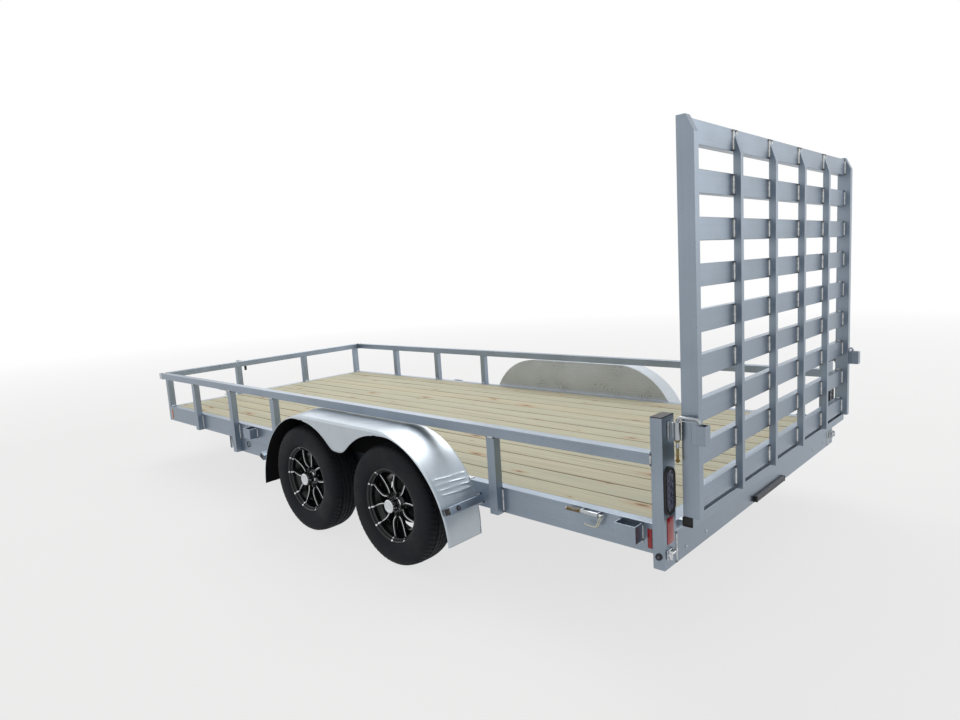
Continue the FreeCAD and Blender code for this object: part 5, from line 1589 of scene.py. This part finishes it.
def floor_finish(colour):
    """Matt studio floor, faintly mottled every 0.9 m. Where it is seen it is lifted part of the way to white
    near the trailer, where the shadow lies, and fully 15 m away: the share rises with the distance from the
    middle."""
    material, node = new_material("pale_studio_floor")
    place = node("TexCoord", output="Object")
    mottle = node("TexNoise", {"Vector": place, "Scale": 1.1, "Detail": 3.0})
    base = node("ValToRGB", {"Fac": mottle}, stops=((0.3, shaded(colour, 0.97)),
                                                    (0.7, shaded(colour, 1.03))))
    bump = node("Bump", {"Height": mottle, "Distance": 0.1 * MM})
    shader = node("BsdfPrincipled", {"Base Color": base, "Roughness": 0.9, "Normal": bump})
    away = node("VectorMath", {0: place}, output="Value", operation="LENGTH")
    share = node("MapRange", {"Value": away, "From Min": 4.0, "From Max": 15.0, "To Min": 0.72,
                              "To Max": 1.0})
    lifted = node("Math", {0: share, 1: seen_ray(node)}, operation="MULTIPLY")
    white = node("Emission", {"Color": linear(WHITE), "Strength": 1.0})
    node("OutputMaterial", {"Surface": node("MixShader", {0: lifted, 1: shader, 2: white})})
    return material


def light_world(scene):
    """Even grey surroundings, plain white to the camera, in metal and through lenses."""
    world = bpy.data.worlds.new("studio")
    scene.world = world
    world.use_nodes = True
    world.node_tree.nodes.clear()
    node = partial(add_node, world.node_tree)
    strength = node("MapRange", {"Value": seen_ray(node), "To Min": WORLD_LEVEL, "To Max": 1.0})
    node("OutputWorld", {"Surface": node("Background", {"Color": linear(WHITE), "Strength": strength})})


def add_lamp(name, place, aim, size, power):
    """Square area light at a place, turned so that it faces its aim."""
    data = bpy.data.lights.new(name, "AREA")
    data.size = size
    data.energy = power
    back = np.array(place) - np.array(aim)
    back /= np.linalg.norm(back)
    side = np.cross((0, 0, 1), back)
    side /= np.linalg.norm(side)
    add_object(name, data).matrix_world = axes_matrix(side, np.cross(back, side), back, place)


# Add-on

class TrailerSizes(bpy.types.PropertyGroup):
    """Sizes that a user may change."""
    plank_count: IntProperty(name="Plank count", description="Planks across the deck", default=14, min=1)
    plank_width: FloatProperty(name="Plank width", description="Width of one plank", default=0.140,
                               unit="LENGTH", min=0.01)
    lens: FloatProperty(name="Lens", description="Focal length of the camera in millimetres", default=24.49,
                        subtype="DISTANCE_CAMERA", min=5.0)


def colour_of(name, description, code):
    """Colour property of the panel, with its default as an sRGB hex code."""
    return FloatVectorProperty(name=name, description=description, default=linear(code), size=4, min=0.0,
                               max=1.0, subtype="COLOR")


class TrailerColours(bpy.types.PropertyGroup):
    """Colours that a user may change, before the pieces are made."""
    tube: colour_of("Tubes", "Mill-finish aluminium tubes", "#8F9AA6")
    sheet: colour_of("Sheet", "Smooth aluminium of the fenders", "#BAC2C9")
    tread: colour_of("Tread plate", "Tread plate beside the wheels", "#B4B9BD")
    weld: colour_of("Welds", "Weld beads", "#CBCCCA")
    zinc: colour_of("Zinc", "Bright zinc plating on latches, coupler and jack", "#A9AEB2")
    chromate: colour_of("Chromate", "Yellow chromate on threads and springs", "#8A7448")
    galvanised: colour_of("Galvanised", "Galvanised axles", "#8F9497")
    iron: colour_of("Cast iron", "Hubs and brake drums", "#2A2A2B")
    machined: colour_of("Machined", "Machined lines and hub caps of the wheels", "#CFD2D5")
    pine_yellow: colour_of("Pine, yellow", "Yellower planks", "#A8A088")
    pine_green: colour_of("Pine, green", "Greener planks", "#A1A18E")
    pine_knot: colour_of("Knots", "Knots and the shaded flanks of the planks", "#6B4A2C")
    rubber: colour_of("Rubber", "Tyres", "#17191F")
    paint: colour_of("Wheel paint", "Gloss black of the wheels", "#0A0B0D")
    plastic: colour_of("Plastic", "Black caps, plugs and grommets", "#141416")
    red: colour_of("Red lenses", "Tail lamps and reflectors", "#A60C14")
    amber: colour_of("Amber lenses", "Front side markers", "#D4740E")
    clear: colour_of("Clear lenses", "Clear parts of the lamps", "#56586A")
    smoked: colour_of("Smoked lens", "Bar lamp under the sill", "#55565C")
    cream: colour_of("Cream", "Pull handles of the side latches", "#DAD8C6")
    floor: colour_of("Floor", "Studio floor", "#A2A2A0")


class TRAILER_PT_panel(bpy.types.Panel):
    """Buttons for the trailer's pieces"""
    bl_idname = "TRAILER_PT_panel"
    bl_label = "Trailer"
    bl_space_type = "VIEW_3D"
    bl_region_type = "UI"
    bl_category = "Trailer"

    def draw(self, context):
        for group in (context.scene.trailer_sizes, context.scene.trailer_colours):
            for name in group.bl_rna.properties.keys():
                if name not in ("rna_type", "name"):
                    self.layout.prop(group, name)
        for operator in OPERATORS:
            self.layout.operator(operator.bl_idname)


OPERATORS = (TRAILER_OT_stage, TRAILER_OT_metalwork, TRAILER_OT_deck, TRAILER_OT_tyres, TRAILER_OT_wheels,
             TRAILER_OT_fenders, TRAILER_OT_tread, TRAILER_OT_welds, TRAILER_OT_fasteners, TRAILER_OT_plugs,
             TRAILER_OT_lamps, TRAILER_OT_gate_latches, TRAILER_OT_side_latches, TRAILER_OT_supports,
             TRAILER_OT_jack, TRAILER_OT_coupler, TRAILER_OT_slot_shade_rods)
CLASSES = (TrailerSizes, TrailerColours) + OPERATORS + (TRAILER_PT_panel,)


def register():
    """Register the classes and attach the sizes and colours to the scene."""
    for item in CLASSES:
        bpy.utils.register_class(item)
    bpy.types.Scene.trailer_sizes = PointerProperty(type=TrailerSizes)
    bpy.types.Scene.trailer_colours = PointerProperty(type=TrailerColours)


def unregister():
    """Detach the sizes and colours and unregister the classes."""
    del bpy.types.Scene.trailer_colours
    del bpy.types.Scene.trailer_sizes
    for item in reversed(CLASSES):
        bpy.utils.unregister_class(item)


def main():
    register()
    for operator in OPERATORS:
        group, name = operator.bl_idname.split(".")
        getattr(getattr(bpy.ops, group), name)()


if __name__ == "__main__":
    main()
